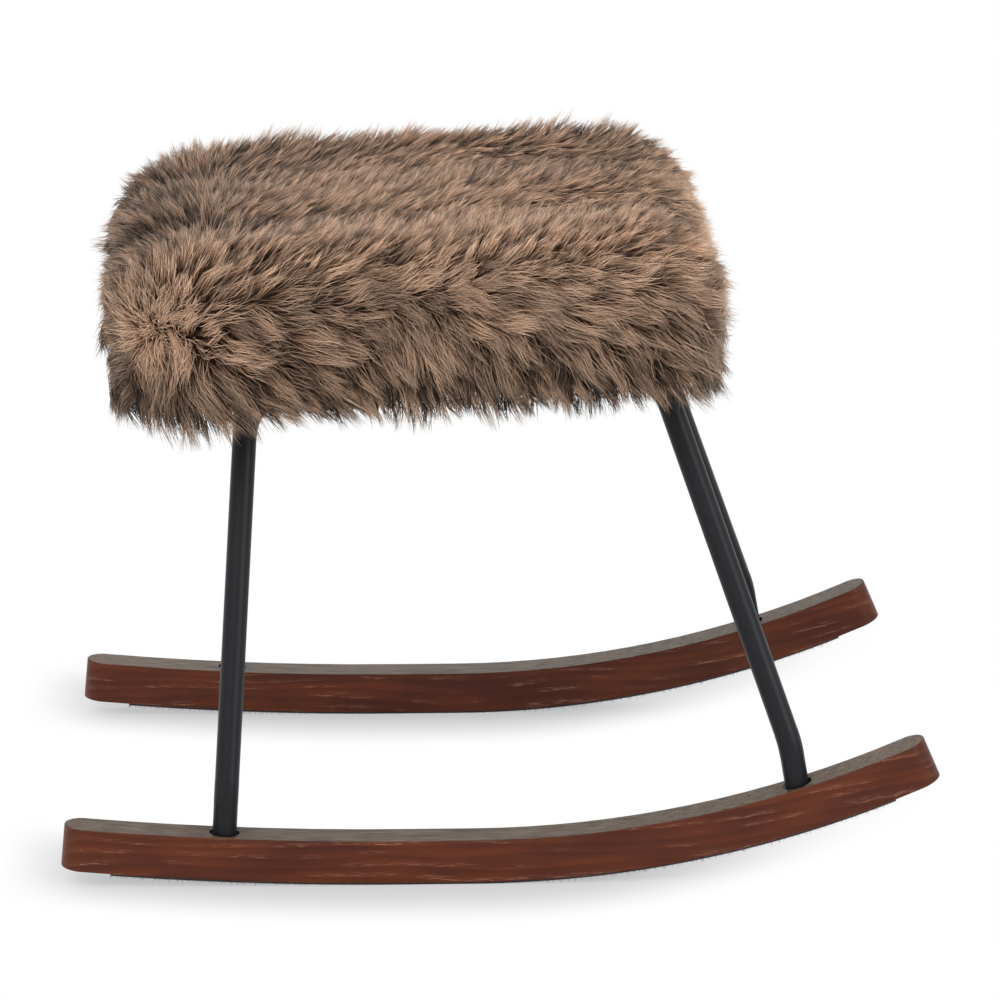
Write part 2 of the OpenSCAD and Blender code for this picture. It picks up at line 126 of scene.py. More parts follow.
class FootstoolSizes(bpy.types.PropertyGroup):
    """Sizes of the soft pieces."""

    cushion_length: length("Cushion length", "Front to back over the pile", 0.412, 0.3, 0.5)
    cushion_width: length("Cushion width", "Side to side over the pile", 0.426, 0.3, 0.5)
    cushion_height: length("Cushion height", "From the board to the top of the pile", 0.0995, 0.06, 0.15)
    pile_depth: length("Pile depth", "Depth of the standing pile", 0.0122, 0.008, 0.03)
    tuck: length("Tuck", "How far the hide pulls in to the edge of the board", 0.006, 0.0, 0.01)
    hide_thickness: length("Hide thickness", "Thickness of the backing of the fur", 0.0017, 0.001, 0.003)
    roll_radius: length("Roll radius", "Radius of the roll along the top edge", 0.044, 0.03, 0.06)
    right_furrow: length("Right furrow", "Depth of the furrow on the right", 0.009, 0.0, 0.015)
    left_furrow: length("Left furrow", "Depth of the furrow on the left", 0.005, 0.0, 0.015)
    furrow_width: length("Furrow width", "Half width of a furrow", 0.038, 0.02, 0.06)
    front_lean: length("Front lean", "How far the front leans in at the top", 0.008, 0.0, 0.02)
    rear_lean: length("Rear lean", "How far the rear leans in at the top", 0.002, 0.0, 0.02)
    draw_in: length("Draw in", "How far the sides pull in between corners", 0.003, 0.0, 0.01)
    turn_under: length("Turn under", "Hide turned under the board", 0.034, 0.02, 0.05)
    foam_base: length("Foam base", "Height of the foam's underside over the board's", 0.0123, 0.01, 0.02)
    fabric_thickness: length("Fabric thickness", "Fabric under the board", 0.0005, 0.0002, 0.001)
    fabric_sag: length("Fabric sag", "How far the fabric hangs from the board", 0.0012, 0.0, 0.003)
    felt_thickness: length("Felt thickness", "Felt under the rockers", 0.0025, 0.001, 0.004)
    felt_swell: length("Felt swell", "How far felt swells out of its groove", 0.0019, 0.0005, 0.003)
    felt_fibre: length("Felt fibre", "Longest loose fibre on the felt", 0.0032, 0.001, 0.006)
    strand_length: length("Strand length", "Length of the pile's strands", 0.036, 0.01, 0.06)
    strand_width: length("Strand width", "Thickness of a strand at its root", 0.00062, 0.0002, 0.002)
    lock_spacing: length("Lock spacing", "Distance between locks on the top", 0.0037, 0.003, 0.03)
    wave: share("Wave", "How far a strand waves to each side, as a share of its length", 0.1)
    lock_pull: share("Lock pull", "How far strands gather into locks", 0.62)
    ruffle: share("Ruffle", "How far locks lean away from the way they were brushed", 0.25)
    strands: bpy.props.IntProperty(
        name="Strands", description="Number of strands in the whole pile", default=94000, min=1000
    )
    undercoat: bpy.props.IntProperty(
        name="Undercoat",
        description="Short strands that show where the pile parts",
        default=24000,
        min=1000,
    )


class FootstoolColours(bpy.types.PropertyGroup):
    """Colours of the finishes, as sRGB hex values."""

    fur_root: colour("Fur root", "Colour of the pile at its root", "#5f4838")
    fur_middle: colour("Fur middle", "Colour halfway up a strand", "#95755e")
    fur_tip: colour("Fur tip", "Colour at the tip of a strand", "#dab99d")
    stained_ash: colour("Stained ash", "Main colour of the wood stain", "#592914")
    ash_shade: colour("Ash shade", "Colour of the darker clouds in the stain", "#482012")
    # The tops' colour is greyer than the sides' as a painted reflection
    ash_top_sheen: colour("Ash top", "Colour of the flat-sawn tops", "#65523f")
    ash_pore: colour("Ash pore", "Colour of the open pores", "#2c1f18")
    ash_fleck: colour("Ash fleck", "Colour of the filled pores", "#a07560")
    black_steel: colour("Black steel", "Powder coat on the tubes", "#1a1b1e")
    felt: colour("Felt", "Felt under the rockers", "#1b1c24")


# Helpers


def linear(hex_value, alpha=1.0):
    """A linear RGBA colour from an sRGB hex value."""
    value = hex_value.lstrip("#")
    channels = [int(value[i : i + 2], 16) / 255 for i in (0, 2, 4)]
    return tuple(
        c / 12.92 if c <= 0.04045 else ((c + 0.055) / 1.055) ** 2.4 for c in channels
    ) + (alpha,)


def add(tree, kind, inputs=None, **settings):
    """Adds a node with its settings, and sets each of its inputs to a value, to a socket, or to the
    first output in use of another node."""
    node = tree.nodes.new(kind)
    for name, value in settings.items():
        setattr(node, name, value)
    for name, value in (inputs or {}).items():
        if isinstance(value, bpy.types.Node):
            value = next(output for output in value.outputs if output.enabled)
        if isinstance(value, bpy.types.NodeSocket):
            tree.links.new(value, node.inputs[name])
        else:
            node.inputs[name].default_value = value
    return node


def node_group(name, wanted):
    """A Geometry Nodes tree with a geometry and the wanted inputs, and what it is given."""
    tree = bpy.data.node_groups.new(name, "GeometryNodeTree")
    for label, kind in (("Geometry", "NodeSocketGeometry"), *wanted):
        tree.interface.new_socket(label, in_out="INPUT", socket_type=kind)
    tree.interface.new_socket("Geometry", in_out="OUTPUT", socket_type="NodeSocketGeometry")
    return tree, add(tree, "NodeGroupInput").outputs


def finished_group(tree, geometry, material):
    """Ends a Geometry Nodes tree in real geometry with a material."""
    real = add(tree, "GeometryNodeRealizeInstances", {"Geometry": geometry})
    painted = add(tree, "GeometryNodeSetMaterial", {"Geometry": real, "Material": material})
    add(tree, "NodeGroupOutput", {0: painted})


def set_inputs(modifier, values):
    """Sets a modifier's inputs by their sockets' identifiers."""
    for item in modifier.node_group.interface.items_tree:
        if item.in_out == "INPUT" and item.name in values:
            modifier[item.identifier] = values[item.name]


def moved(tree, place, *steps):
    """A place moved along several ways, each by its own amount."""
    for way, amount in steps:
        step = add(tree, VECTOR_MATH, {0: way, "Scale": amount}, operation="SCALE")
        place = add(tree, VECTOR_MATH, {0: place, 1: step}, operation="ADD")
    return place


def curved(tree, x, share, height):
    """A height with a share of the rockers' rise at x added, their arcs taken as parabolas."""
    for start, sign, radius in ROCKER_ARCS:
        past = add(tree, MATH, {0: x, 1: sign, 2: -sign * start}, operation="MULTIPLY_ADD")
        past = add(tree, MATH, {0: past, 1: 0.0}, operation="MAXIMUM")
        square = add(tree, MATH, {0: past, 1: past}, operation="MULTIPLY")
        bent = {0: square, 1: share * 0.5 / radius, 2: height}
        height = add(tree, MATH, bent, operation="MULTIPLY_ADD")
    return height


def seen_or_mirrored(tree):
    """1 for the rays of the camera, and for those that mirrors and glass send on."""
    path = add(tree, "ShaderNodeLightPath").outputs
    seen = path["Is Camera Ray"]
    for kind in ("Is Glossy Ray", "Is Transmission Ray"):
        seen = add(tree, MATH, {0: seen, 1: path[kind]}, operation="MAXIMUM")
    return seen


def from_seat(points):
    """Model-frame places of seat-frame places."""
    return points @ SEAT_AXES.T + SEAT_ORIGIN


def to_seat(points):
    return (points - SEAT_ORIGIN) @ SEAT_AXES


def ramp(values, start, end):
    """0 up to the start, rising evenly to 1 at the end, which may be the lower of the two."""
    return np.clip((values - start) / (end - start), 0, 1)


def bell(values, middle, reach):
    """1 at the middle, and fading out over a reach to each side of it."""
    return np.exp(-(((values - middle) / reach) ** 2))


def near(places, middle, reach):
    """1 at a place in the seat frame, and fading out over a reach round it, both in mm."""
    return bell(np.linalg.norm((places / MM - np.array(middle)) / np.array(reach), axis=1), 0, 1)


def new_object(name, mesh):
    made = bpy.data.objects.new(name, mesh)
    bpy.context.scene.collection.objects.link(made)
    return made


def new_mesh(name, points, faces, smooth=True):
    mesh = bpy.data.meshes.new(name)
    mesh.from_pydata([tuple(p) for p in points], [], [tuple(f) for f in faces])
    mesh.polygons.foreach_set("use_smooth", [smooth] * len(mesh.polygons))
    mesh.update()
    return mesh


def read(items, field, width=3):
    """One field of all of a mesh's items, with a row for each."""
    flat = np.empty(len(items) * width, np.float32)
    items.foreach_get(field, flat)
    return flat.reshape(-1, width)


def write_attribute(mesh, name, kind, domain, values):
    attribute = mesh.attributes.new(name, kind, domain)
    field = "vector" if kind == "FLOAT_VECTOR" else "value"
    attribute.data.foreach_set(field, np.asarray(values).ravel())


def evaluated_mesh(piece):
    """The mesh of a piece with its modifiers, which are then removed."""
    graph = bpy.context.evaluated_depsgraph_get()
    mesh = bpy.data.meshes.new_from_object(piece.evaluated_get(graph))
    piece.modifiers.clear()
    return mesh


def grown(name, mesh, tree, values):
    """A piece grown on a mesh by Geometry Nodes, whose inputs get these values."""
    piece = new_object(name, mesh)
    modifier = piece.modifiers.new(tree.name, "NODES")
    modifier.node_group = tree
    set_inputs(modifier, values)
    piece.data = evaluated_mesh(piece)
    return piece


def thickened(name, mesh, thickness, offset):
    """A piece made of a mesh with walls of a thickness."""
    piece = new_object(name, mesh)
    wall = piece.modifiers.new("thickness", "SOLIDIFY")
    wall.thickness = thickness
    wall.offset = offset
    piece.data = evaluated_mesh(piece)
    return piece


def finish_piece(piece, material=None):
    """Gives a finished piece its finish, slot and body."""
    if material:
        piece.data.materials.clear()
        piece.data.materials.append(material)
    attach(piece, BODY)


def paint_nodes(material, *names):
    """Gives CAD nodes a finish."""
    for name in names:
        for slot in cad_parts[name].material_slots:
            slot.material = material


def sizes():
    return bpy.context.scene.footstool_sizes


def colours():
    return bpy.context.scene.footstool_colours


# Finishes


def new_material(name):
    """An empty material and its node tree."""
    material = bpy.data.materials.new(name)
    material.use_nodes = True
    material.node_tree.nodes.clear()
    return material, material.node_tree


def surfaced(tree, settings, relief=None, shades=None, rough=None):
    """Ends a material in a Principled shader with these settings. A relief is a pattern, its strength
    and its height in mm, below zero where it is sunk. Shades and roughness follow a pattern from one
    value to another."""
    settings = dict(settings)
    if relief:
        pattern, strength, height = relief
        raised = {"Height": pattern, "Strength": strength, "Distance": abs(height) * MM}
        settings["Normal"] = add(tree, "ShaderNodeBump", raised, invert=height < 0)
    if shades:
        pattern, low, high = shades
        between = {0: pattern, 6: linear(low), 7: linear(high)}
        settings["Base Color"] = add(tree, "ShaderNodeMix", between, data_type="RGBA")
    if rough:
        pattern, low, high = rough
        spread = {"Value": pattern, "To Min": low, "To Max": high}
        settings["Roughness"] = add(tree, "ShaderNodeMapRange", spread)
    shader = add(tree, "ShaderNodeBsdfPrincipled", settings)
    add(tree, "ShaderNodeOutputMaterial", {"Surface": shader})


def stained_ash():
    """Planed ash, stained red-brown under satin lacquer. On the sides, filled pores along the growth
    rings catch the light as fine pale dashes. The tops are flat-sawn, with dense dark open pores on a
    greyer brown, which is a painted reflection of the bright room that the tops catch at a low angle."""
    pick = colours()
    material, tree = new_material("stained_ash")
    here = add(tree, "ShaderNodeTexCoord").outputs
    place = add(tree, "ShaderNodeSeparateXYZ", {0: here["Object"]}).outputs
    facing = add(tree, "ShaderNodeSeparateXYZ", {0: here["Normal"]}).outputs["Z"]
    upright = add(tree, MATH, {0: facing}, operation="ABSOLUTE")

    # The board was bent a little before it was sawn, so the grain follows part of the bend
    height = curved(tree, place["X"], -0.6, place["Z"])
    along = add(tree, "ShaderNodeCombineXYZ", {"X": place["X"], "Y": place["Y"], "Z": height})

    # Marks in the grain: their thickness and length in mm, their detail, and a start of their own
    marks = {}
    for name, thick, run, detail, start in (
        ("wander", 30, 140, 1.0, (0.4, 0.0, 0.7)),
        ("cloud", 16, 80, 1.0, (0.1, 0.5, 0.0)),
        ("fibre", 0.5, 14, 2.0, (0.3, 0.1, 0.0)),
        ("dash", 0.26, 10, 1.0, (0.7, 0.0, 0.2)),
        ("patch", 9, 40, 1.0, (0.2, 0.3, 0.1)),
        ("pore", 0.6, 26, 3.0, (0.0, 0.2, 0.4)),
    ):
        drawn_out = {"Vector": along, "Location": start, "Scale": (thick / run, 1.0, 1.0)}
        drawn_out = add(tree, "ShaderNodeMapping", drawn_out)
        marked = {"Vector": drawn_out, "Scale": 1 / (thick * MM), "Detail": detail}
        marks[name] = add(tree, "ShaderNodeTexNoise", marked)

    # Growth rings 7 mm apart, which wander by up to 6 mm over some 140 mm
    depth = add(tree, MATH, {0: marks["wander"], 1: 0.02, 2: height}, operation="MULTIPLY_ADD")
    depth = add(tree, MATH, {0: place["Y"], 1: 0.3, 2: depth}, operation="MULTIPLY_ADD")
    rings = add(tree, MATH, {0: depth, 1: 1 / (7 * MM)}, operation="MULTIPLY")
    ring = add(tree, MATH, {0: rings}, operation="FRACT")

    # How each mark shows: what it follows, between which values, and from how much to how much
    shown = {}
    for name, follows, low, high, least, most in (
        ("cloud", marks["cloud"], 0.34, 0.66, 0.0, 1.0),
        ("late wood", ring, 0.25, 1.0, 1.05, 0.84),
        ("side fibre", marks["fibre"], 0.3, 0.7, 0.93, 1.07),
        ("top fibre", marks["fibre"], 0.3, 0.7, 0.8, 1.2),
        ("ring starts", ring, 0.0, 0.1, 0.0, 1.0),
        ("ring ends", ring, 0.15, 0.6, 1.0, 0.0),
        ("patch", marks["patch"], 0.46, 0.6, 0.0, 0.65),
        ("dash", marks["dash"], 0.56, 0.64, 0.0, 1.0),
        ("pore", marks["pore"], 0.42, 0.64, 0.0, 1.0),
        ("roughness", marks["pore"], 0.4, 0.7, 0.36, 0.5),
        ("top", upright, 0.75, 0.9, 0.0, 1.0),
    ):
        between = {"Value": follows, "From Min": low, "From Max": high}
        shown[name] = add(
            tree,
            "ShaderNodeMapRange",
            between | {"To Min": least, "To Max": most},
            interpolation_type="SMOOTHSTEP",
        )
    fleck = shown["ring starts"]
    for name in ("ring ends", "patch", "dash"):
        fleck = add(tree, MATH, {0: fleck, 1: shown[name]}, operation="MULTIPLY")

    # The stains of the sides and the tops, laid over each other from the first to the last. The tops' base
    # colour is a painted reflection
    stain = {"side": linear(pick.ash_shade), "top": linear(pick.ash_top_sheen)}
    for surface, blend, amount, over in (
        ("side", "MIX", shown["cloud"], linear(pick.stained_ash)),
        ("side", "MULTIPLY", 1.0, shown["late wood"]),
        ("side", "MULTIPLY", 1.0, shown["side fibre"]),
        ("side", "MIX", fleck, linear(pick.ash_fleck)),
        ("top", "MIX", shown["pore"], linear(pick.ash_pore)),
        ("top", "MULTIPLY", 1.0, shown["top fibre"]),
    ):
        layers = {0: amount, 6: stain[surface], 7: over}
        stain[surface] = add(tree, "ShaderNodeMix", layers, data_type="RGBA", blend_type=blend)
    both = {0: shown["top"], 6: stain["side"], 7: stain["top"]}
    base = add(tree, "ShaderNodeMix", both, data_type="RGBA")

    # Only the tops' pores are open
    pores = add(tree, MATH, {0: marks["pore"], 1: shown["top"]}, operation="MULTIPLY")
    look = {"Base Color": base, "Roughness": shown["roughness"], "Specular IOR Level": 0.18}
    surfaced(tree, look, (pores, 0.35, -0.2))
    return material


def powder_coat():
    """Satin black powder coat on steel tube: even and dark, with a faint orange peel 1.5 mm across."""
    material, tree = new_material("satin_black_steel")
    place = add(tree, "ShaderNodeTexCoord").outputs["Object"]
    marks = {"Vector": place, "Scale": 1 / (1.5 * MM), "Detail": 2.0}
    peel = add(tree, "ShaderNodeTexNoise", marks)
    look = {"Base Color": linear(colours().black_steel), "Specular IOR Level": 0.16}
    surfaced(tree, look, (peel, 0.12, 0.05), rough=(peel, 0.31, 0.43))
    return material


def pressed_felt():
    """Pressed wool felt, nearly black: matted fibres 0.3 mm apart, drawn coarse enough to show."""
    material, tree = new_material("black_felt")
    place = add(tree, "ShaderNodeTexCoord").outputs["Object"]
    marks = {"Vector": place, "Scale": 1 / (0.8 * MM), "Detail": 4.0, "Distortion": 1.5}
    fibre = add(tree, "ShaderNodeTexNoise", marks)
    tones = {"Value": fibre, "From Min": 0.3, "From Max": 0.7, "To Min": 0.6, "To Max": 1.6}
    tone = add(tree, "ShaderNodeMapRange", tones)
    layers = {0: 1.0, 6: linear(colours().felt), 7: tone}
    base = add(tree, "ShaderNodeMix", layers, data_type="RGBA", blend_type="MULTIPLY")
    look = {"Base Color": base, "Roughness": 1.0, "Sheen Weight": 0.4, "Sheen Roughness": 0.6}
    surfaced(tree, look, (fibre, 0.8, 0.4))
    return material


def moulded_nylon():
    """Black nylon, injection moulded with a fine spark-eroded grain 0.6 mm across."""
    material, tree = new_material("black_nylon")
    place = add(tree, "ShaderNodeTexCoord").outputs["Object"]
    marks = {"Vector": place, "Scale": 1 / (0.6 * MM), "Detail": 2.0}
    grain = add(tree, "ShaderNodeTexNoise", marks)
    look = {"Base Color": linear("#111113"), "IOR": 1.53}
    surfaced(tree, look, (grain, 0.3, 0.05), rough=(grain, 0.42, 0.58))
    return material


def zinc_plate():
    """Zinc-plated steel: a dull silver with cloudy patches about 3 mm across and fine handling marks."""
    material, tree = new_material("zinc_steel")
    place = add(tree, "ShaderNodeTexCoord").outputs["Object"]
    clouds = {"Vector": place, "Scale": 1 / (3 * MM), "Detail": 3.0}
    cloud = add(tree, "ShaderNodeTexNoise", clouds)
    marks = {"Vector": place, "Scale": 1 / (0.4 * MM), "Detail": 2.0, "Distortion": 2.0}
    mark = add(tree, "ShaderNodeTexNoise", marks)
    shades = (cloud, "#8f9499", "#c6cacc")
    surfaced(tree, {"Metallic": 1.0}, (mark, 0.15, 0.03), shades, (cloud, 0.26, 0.46))
    return material


def birch_plywood():
    """Sanded birch plywood: pale tan with a long soft figure on its faces and 1.5 mm plies on its edge."""
    material, tree = new_material("birch_plywood")
    place = add(tree, "ShaderNodeTexCoord").outputs["Object"]
    lying = {"Vector": place, "Location": tuple(SEAT_ORIGIN), "Rotation": (0.0, -SEAT_TILT, 0.0)}
    lying = add(tree, "ShaderNodeMapping", lying, vector_type="TEXTURE")
    height = add(tree, "ShaderNodeSeparateXYZ", {0: lying}).outputs["Z"]
    ply = add(tree, MATH, {0: height, 1: 1.5 * MM}, operation="PINGPONG")
    edges = {"Value": ply, "From Min": 0.6 * MM, "From Max": 0.9 * MM}
    band = add(tree, "ShaderNodeMapRange", edges | {"To Min": 0.72, "To Max": 1.0})
    along = add(tree, "ShaderNodeMapping", {"Vector": lying, "Scale": (6.0, 90.0, 6.0)})
    figures = {"Vector": along, "Scale": 1.0, "Detail": 5.0, "Distortion": 0.6}
    figure = add(tree, "ShaderNodeTexNoise", figures)
    wood = {0: figure, 6: linear("#b98f5e"), 7: linear("#dcc096")}
    wood = add(tree, "ShaderNodeMix", wood, data_type="RGBA")
    plies = {0: 1.0, 6: wood, 7: band}
    plies = add(tree, "ShaderNodeMix", plies, data_type="RGBA", blend_type="MULTIPLY")
    surfaced(tree, {"Base Color": plies, "Roughness": 0.62}, (figure, 0.2, 0.2))
    return material


def cut_foam():
    """Cut polyurethane foam: cream, quite rough, with open cells about 1.2 mm across."""
    material, tree = new_material("upholstery_foam")
    place = add(tree, "ShaderNodeTexCoord").outputs["Object"]
    cells = add(tree, "ShaderNodeTexVoronoi", {"Vector": place, "Scale": 1 / (1.2 * MM)})
    surfaced(tree, {"Roughness": 0.95}, (cells, 0.7, 0.5), (cells, "#cfc3a2", "#f0e8d2"))
    return material


def spunbond():
    """Black spunbond fabric: bonded points 2 mm apart, drawn coarse enough to show, in matt fibres."""
    material, tree = new_material("black_nonwoven")
    place = add(tree, "ShaderNodeTexCoord").outputs["Object"]
    dots = {"Vector": place, "Scale": 1 / (2 * MM), "Randomness": 0.12}
    dots = add(tree, "ShaderNodeTexVoronoi", dots)
    marks = {"Vector": place, "Scale": 1 / (0.7 * MM), "Detail": 3.0, "Distortion": 2.0}
    fibre = add(tree, "ShaderNodeTexNoise", marks)
    look = {"Roughness": 0.9, "Sheen Weight": 0.15, "Sheen Roughness": 0.5}
    surfaced(tree, look, (dots, 0.6, 0.3), (fibre, "#17171a", "#34343a"))
    return material


def tanned_hide():
    """The knitted or tanned backing that the pile grows from: dull brown, with tufts 3 mm apart."""
    material, tree = new_material("fur_backing")
    place = add(tree, "ShaderNodeTexCoord").outputs["Object"]
    tufts = add(tree, "ShaderNodeTexVoronoi", {"Vector": place, "Scale": 1 / (3 * MM)})
    surfaced(tree, {"Roughness": 0.95}, (tufts, 0.6, 0.6), (tufts, "#4a392e", "#6c5546"))
    return material


def long_pile():
    """Long combed pile: dark at the root, taupe halfway and paler at the tip, softly glossy. The piece's
    own map holds a lock's tone across and the way from root to tip upwards."""
    pick = colours()
    material, tree = new_material("long_pile_fur")
    spot = add(tree, "ShaderNodeUVMap", uv_map=PILE_MAP)
    spot = add(tree, "ShaderNodeSeparateXYZ", {0: spot}).outputs
    base = linear(pick.fur_root)
    for low, high, shade in ((0.08, 0.6, pick.fur_middle), (0.5, 1.0, pick.fur_tip)):
        rise = {"Value": spot["Y"], "From Min": low, "From Max": high}
        rise = add(tree, "ShaderNodeMapRange", rise)
        base = add(tree, "ShaderNodeMix", {0: rise, 6: base, 7: linear(shade)}, data_type="RGBA")
    tones = {"Value": spot["X"], "From Min": -0.35, "From Max": 1.4, "To Min": 0.08, "To Max": 1.98}
    tone = add(tree, "ShaderNodeMapRange", tones)
    layers = {0: 1.0, 6: base, 7: tone}
    base = add(tree, "ShaderNodeMix", layers, data_type="RGBA", blend_type="MULTIPLY")
    surfaced(tree, {"Base Color": base, "Roughness": 0.5, "Specular IOR Level": 0.2})
    return material


# Shape of the cushion

# Gaps are under a skin, insets from the outline, heights from the board, and turns in degrees
HIDE_GAP = 0.3 * MM
FOAM_GAP = 0.4 * MM
EDGE_INSETS = (0.029, 0.025)
WALL_HEIGHTS = (0.002, 0.008, 0.014, 0.020, 0.027, 0.035, 0.044)
SWELL_HEIGHTS = (0.008, 0.035)
FOAM_WALL = 0.0139
ROLL_TURNS = (8, 22, 36, 50, 64, 78, 90)
TOP_RINGS = 20
# The hem under the board: how far it lies flat and how far it is eased at the board's edge
HEM_FLAT = 0.003
HEM_EASE = 0.0008
# Height over which the sides draw in, and where the rings of the top start and end
DRAW_HEIGHT = 0.03
TOP_INSETS = (0.008, 0.006)


def outline_angles(count):
    even = np.arange(count) * 2 * math.pi / count
    return even + CORNER_BIAS * np.sin(4 * even)


def outline(angles, inset):
    """The cushion's outline in the seat frame, an inset inside its outer edge."""
    size = sizes()
    cos, sin = np.cos(angles), np.sin(angles)
    reach = (np.abs(cos) ** SQUARENESS + np.abs(sin) ** SQUARENESS) ** (-1 / SQUARENESS)
    along = (size.cushion_length / 2 - inset) * cos * reach
    return along, (size.cushion_width / 2 - inset) * sin * reach


def leaned(x, y, z):
    """Places in the cushion, moved towards the middle by the lean of the front or the rear."""
    size = sizes()
    lean = np.where(x > 0, size.front_lean, size.rear_lean) * 2 / size.cushion_length
    return np.stack([x * (1 - lean * np.maximum(0, z) / size.cushion_height), y, z], 1)


def crown(x, y):
    """Height of the top of the pile above the seat board."""
    size = sizes()
    furrows = size.right_furrow * bell(y, RIGHT_FURROW, size.furrow_width)
    furrows = furrows + size.left_furrow * bell(y, LEFT_FURROW, size.furrow_width)
    deeper = FURROW_ENDS[0] + FURROW_ENDS[1] * (2 * x / size.cushion_length) ** 2
    return size.cushion_height + x * WEDGE - furrows * deeper


def cushion_rings(depth):
    """Rings of points from the edge turned under the board to near the middle of the top."""
    size = sizes()
    angles = outline_angles(COVER_POINTS)
    waist = np.cos(2 * angles) ** 2

    def level(inset, z, draw):
        x, y = outline(angles, inset + draw * size.draw_in * waist)
        return leaned(x, y, np.full(COVER_POINTS, z))

    # The cover is pulled in to the edge of the board, and swells out above it
    foot = depth + size.tuck
    below = depth - size.pile_depth - size.hide_thickness - HIDE_GAP
    insets = (size.turn_under, *EDGE_INSETS, foot + HEM_FLAT)
    rings = [level(inset, below, 0) for inset in insets]
    rings.append(level(foot + HEM_EASE, below + HEM_EASE, 0))
    for z in WALL_HEIGHTS:
        swell = 0.5 - 0.5 * math.cos(math.pi * ramp(z, *SWELL_HEIGHTS))
        rings.append(level(foot - size.tuck * swell, z, min(1.0, z / DRAW_HEIGHT)))

    # The roll along the edge of the top, by its turn in degrees
    radius = size.roll_radius - depth
    for turn in np.radians(ROLL_TURNS):
        x, y = outline(angles, depth + radius * (1 - math.cos(turn)) + size.draw_in * waist)
        rings.append(leaned(x, y, crown(x, y) - depth - radius * (1 - math.sin(turn))))
    reach = min(size.cushion_length, size.cushion_width) / 2
    start, end = size.roll_radius + TOP_INSETS[0], reach - TOP_INSETS[1]
    for inset in np.linspace(start, end, TOP_RINGS):
        x, y = outline(angles, inset + size.draw_in * waist)
        rings.append(leaned(x, y, crown(x, y) - depth))
    return rings


def ringed_mesh(name, rings, pole, base=None):
    """A skin over rings, closed by a pole at the last one and, where a base is given, at the first."""
    count = len(rings[0])
    points = [*rings, pole[None]] if base is None else [*rings, pole[None], base[None]]
    faces = []
    for start in range(0, (len(rings) - 1) * count, count):
        for i in range(count):
            after = (i + 1) % count
            faces.append((start + i, start + after, start + count + after, start + count + i))
    last = (len(rings) - 1) * count
    for i in range(count):
        faces.append((last + i, last + (i + 1) % count, last + count))
        if base is not None:
            faces.append(((i + 1) % count, i, last + count + 1))
    return new_mesh(name, from_seat(np.vstack(points)), faces)


def cover_mesh(name):
    """The skin that the pile grows from, with its edge turned under the board."""
    depth = sizes().pile_depth
    return ringed_mesh(name, cushion_rings(depth), np.array([0.0, 0.0, crown(0.0, 0.0) - depth]))


def foam_mesh(name):
    """The foam block: a flat underside on the board, and a crown that follows the cover's."""
    size = sizes()
    depth = size.pile_depth + size.hide_thickness + FOAM_GAP
    rings = []
    for inset, height in ((0.001, 0.0), (0.0, 0.001)):
        x, y = outline(outline_angles(COVER_POINTS), depth + size.tuck + inset)
        rings.append(np.stack([x, y, np.full(COVER_POINTS, size.foam_base + height)], 1))
    rings += [ring for ring in cushion_rings(depth) if ring[0, 2] > FOAM_WALL]
    pole = np.array([0.0, 0.0, crown(0.0, 0.0) - depth])
    return ringed_mesh(name, rings, pole, np.array([0.0, 0.0, size.foam_base]))


# Fabric under the board

FABRIC_POINTS = 176
FABRIC_RINGS = 44
FABRIC_DROP = 0.55 * MM
STAPLE_PITCH = 34.5 * MM
TAB_LENGTH = 30 * MM
TAB_EDGE = 20 * MM
# How far round a tab and in from the staples it is held up, and how deep it creases and folds
TAB_HOLD = 0.012
TAB_EASE = 0.02
EDGE_EASE = 0.03
CREASE = 0.27 * MM
FOLD = 0.2 * MM


def fabric_inset():
    return sizes().turn_under + 1.5 * MM


def fabric_mesh(name):
    """The fabric: flat where staples and tabs hold it, and sagging a little between them."""
    size = sizes()
    reach = min(size.cushion_length, size.cushion_width) / 2
    rings = []
    for inset in np.linspace(fabric_inset(), reach - 0.004, FABRIC_RINGS):
        x, y = outline(outline_angles(FABRIC_POINTS), inset)
        rings.append(np.stack([x, y, fabric_sag(x, y, inset)], 1))
    mesh = ringed_mesh(name, rings, np.array([0.0, 0.0, -FABRIC_DROP - size.fabric_sag]))
    mesh.flip_normals()
    return mesh


def tab_middles():
    """Where the tabs hold the fabric: ahead of the middle of the seat, and out from it."""
    low, high = (np.array(corner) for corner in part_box("mounting_tabs"))
    middles = []
    for end, inwards in ((high[0], -1), (low[0], 1)):
        ahead = to_seat(np.array([end, 0.0, low[2]]))[0] + inwards * TAB_LENGTH / 2
        middles.append((ahead, high[1] - TAB_EDGE))
    return middles


def fabric_sag(x, y, inset):
    """How high the fabric lies, at places that are an inset inside the outline."""
    size = sizes()
    held = np.zeros(len(x))
    for ahead, out in tab_middles():
        apart = np.hypot(x - ahead, np.abs(y) - out)
        held = np.maximum(held, bell(np.maximum(apart, TAB_HOLD), TAB_HOLD, TAB_EASE))
    edge = math.exp(-(inset - fabric_inset()) / EDGE_EASE)
    # Scallops between the staples, and creases that run in from them
    along = np.where(np.abs(x) * size.cushion_width > np.abs(y) * size.cushion_length, y, x)
    creases = CREASE * edge * (0.5 - 0.5 * np.cos(2 * math.pi * along / STAPLE_PITCH))
    folds = FOLD * np.sin(x * 90 + 2.0 * np.sin(y * 37)) * np.sin(y * 70 + 1.5 * np.sin(x * 41))
    return -FABRIC_DROP - (1 - held) * ((size.fabric_sag + folds) * (1 - edge) + creases)


# Felt under the rockers

FELT_POINTS = 150
FELT_END = 1 * MM
FELT_EASE = 0.5 * MM
GROOVE_DEPTH = 1.05 * MM


def rocker_curve(x):
    """Height of the rocker's underside curve over its flat stretch, and its slope."""
    height, slope = np.zeros_like(x), np.zeros_like(x)
    for start, sign, radius in ROCKER_ARCS:
        ahead = np.maximum(sign * (x - start), 0.0)
        height += radius - np.sqrt(radius**2 - ahead**2)
        slope += sign * ahead / np.sqrt(radius**2 - ahead**2)
    return height, slope


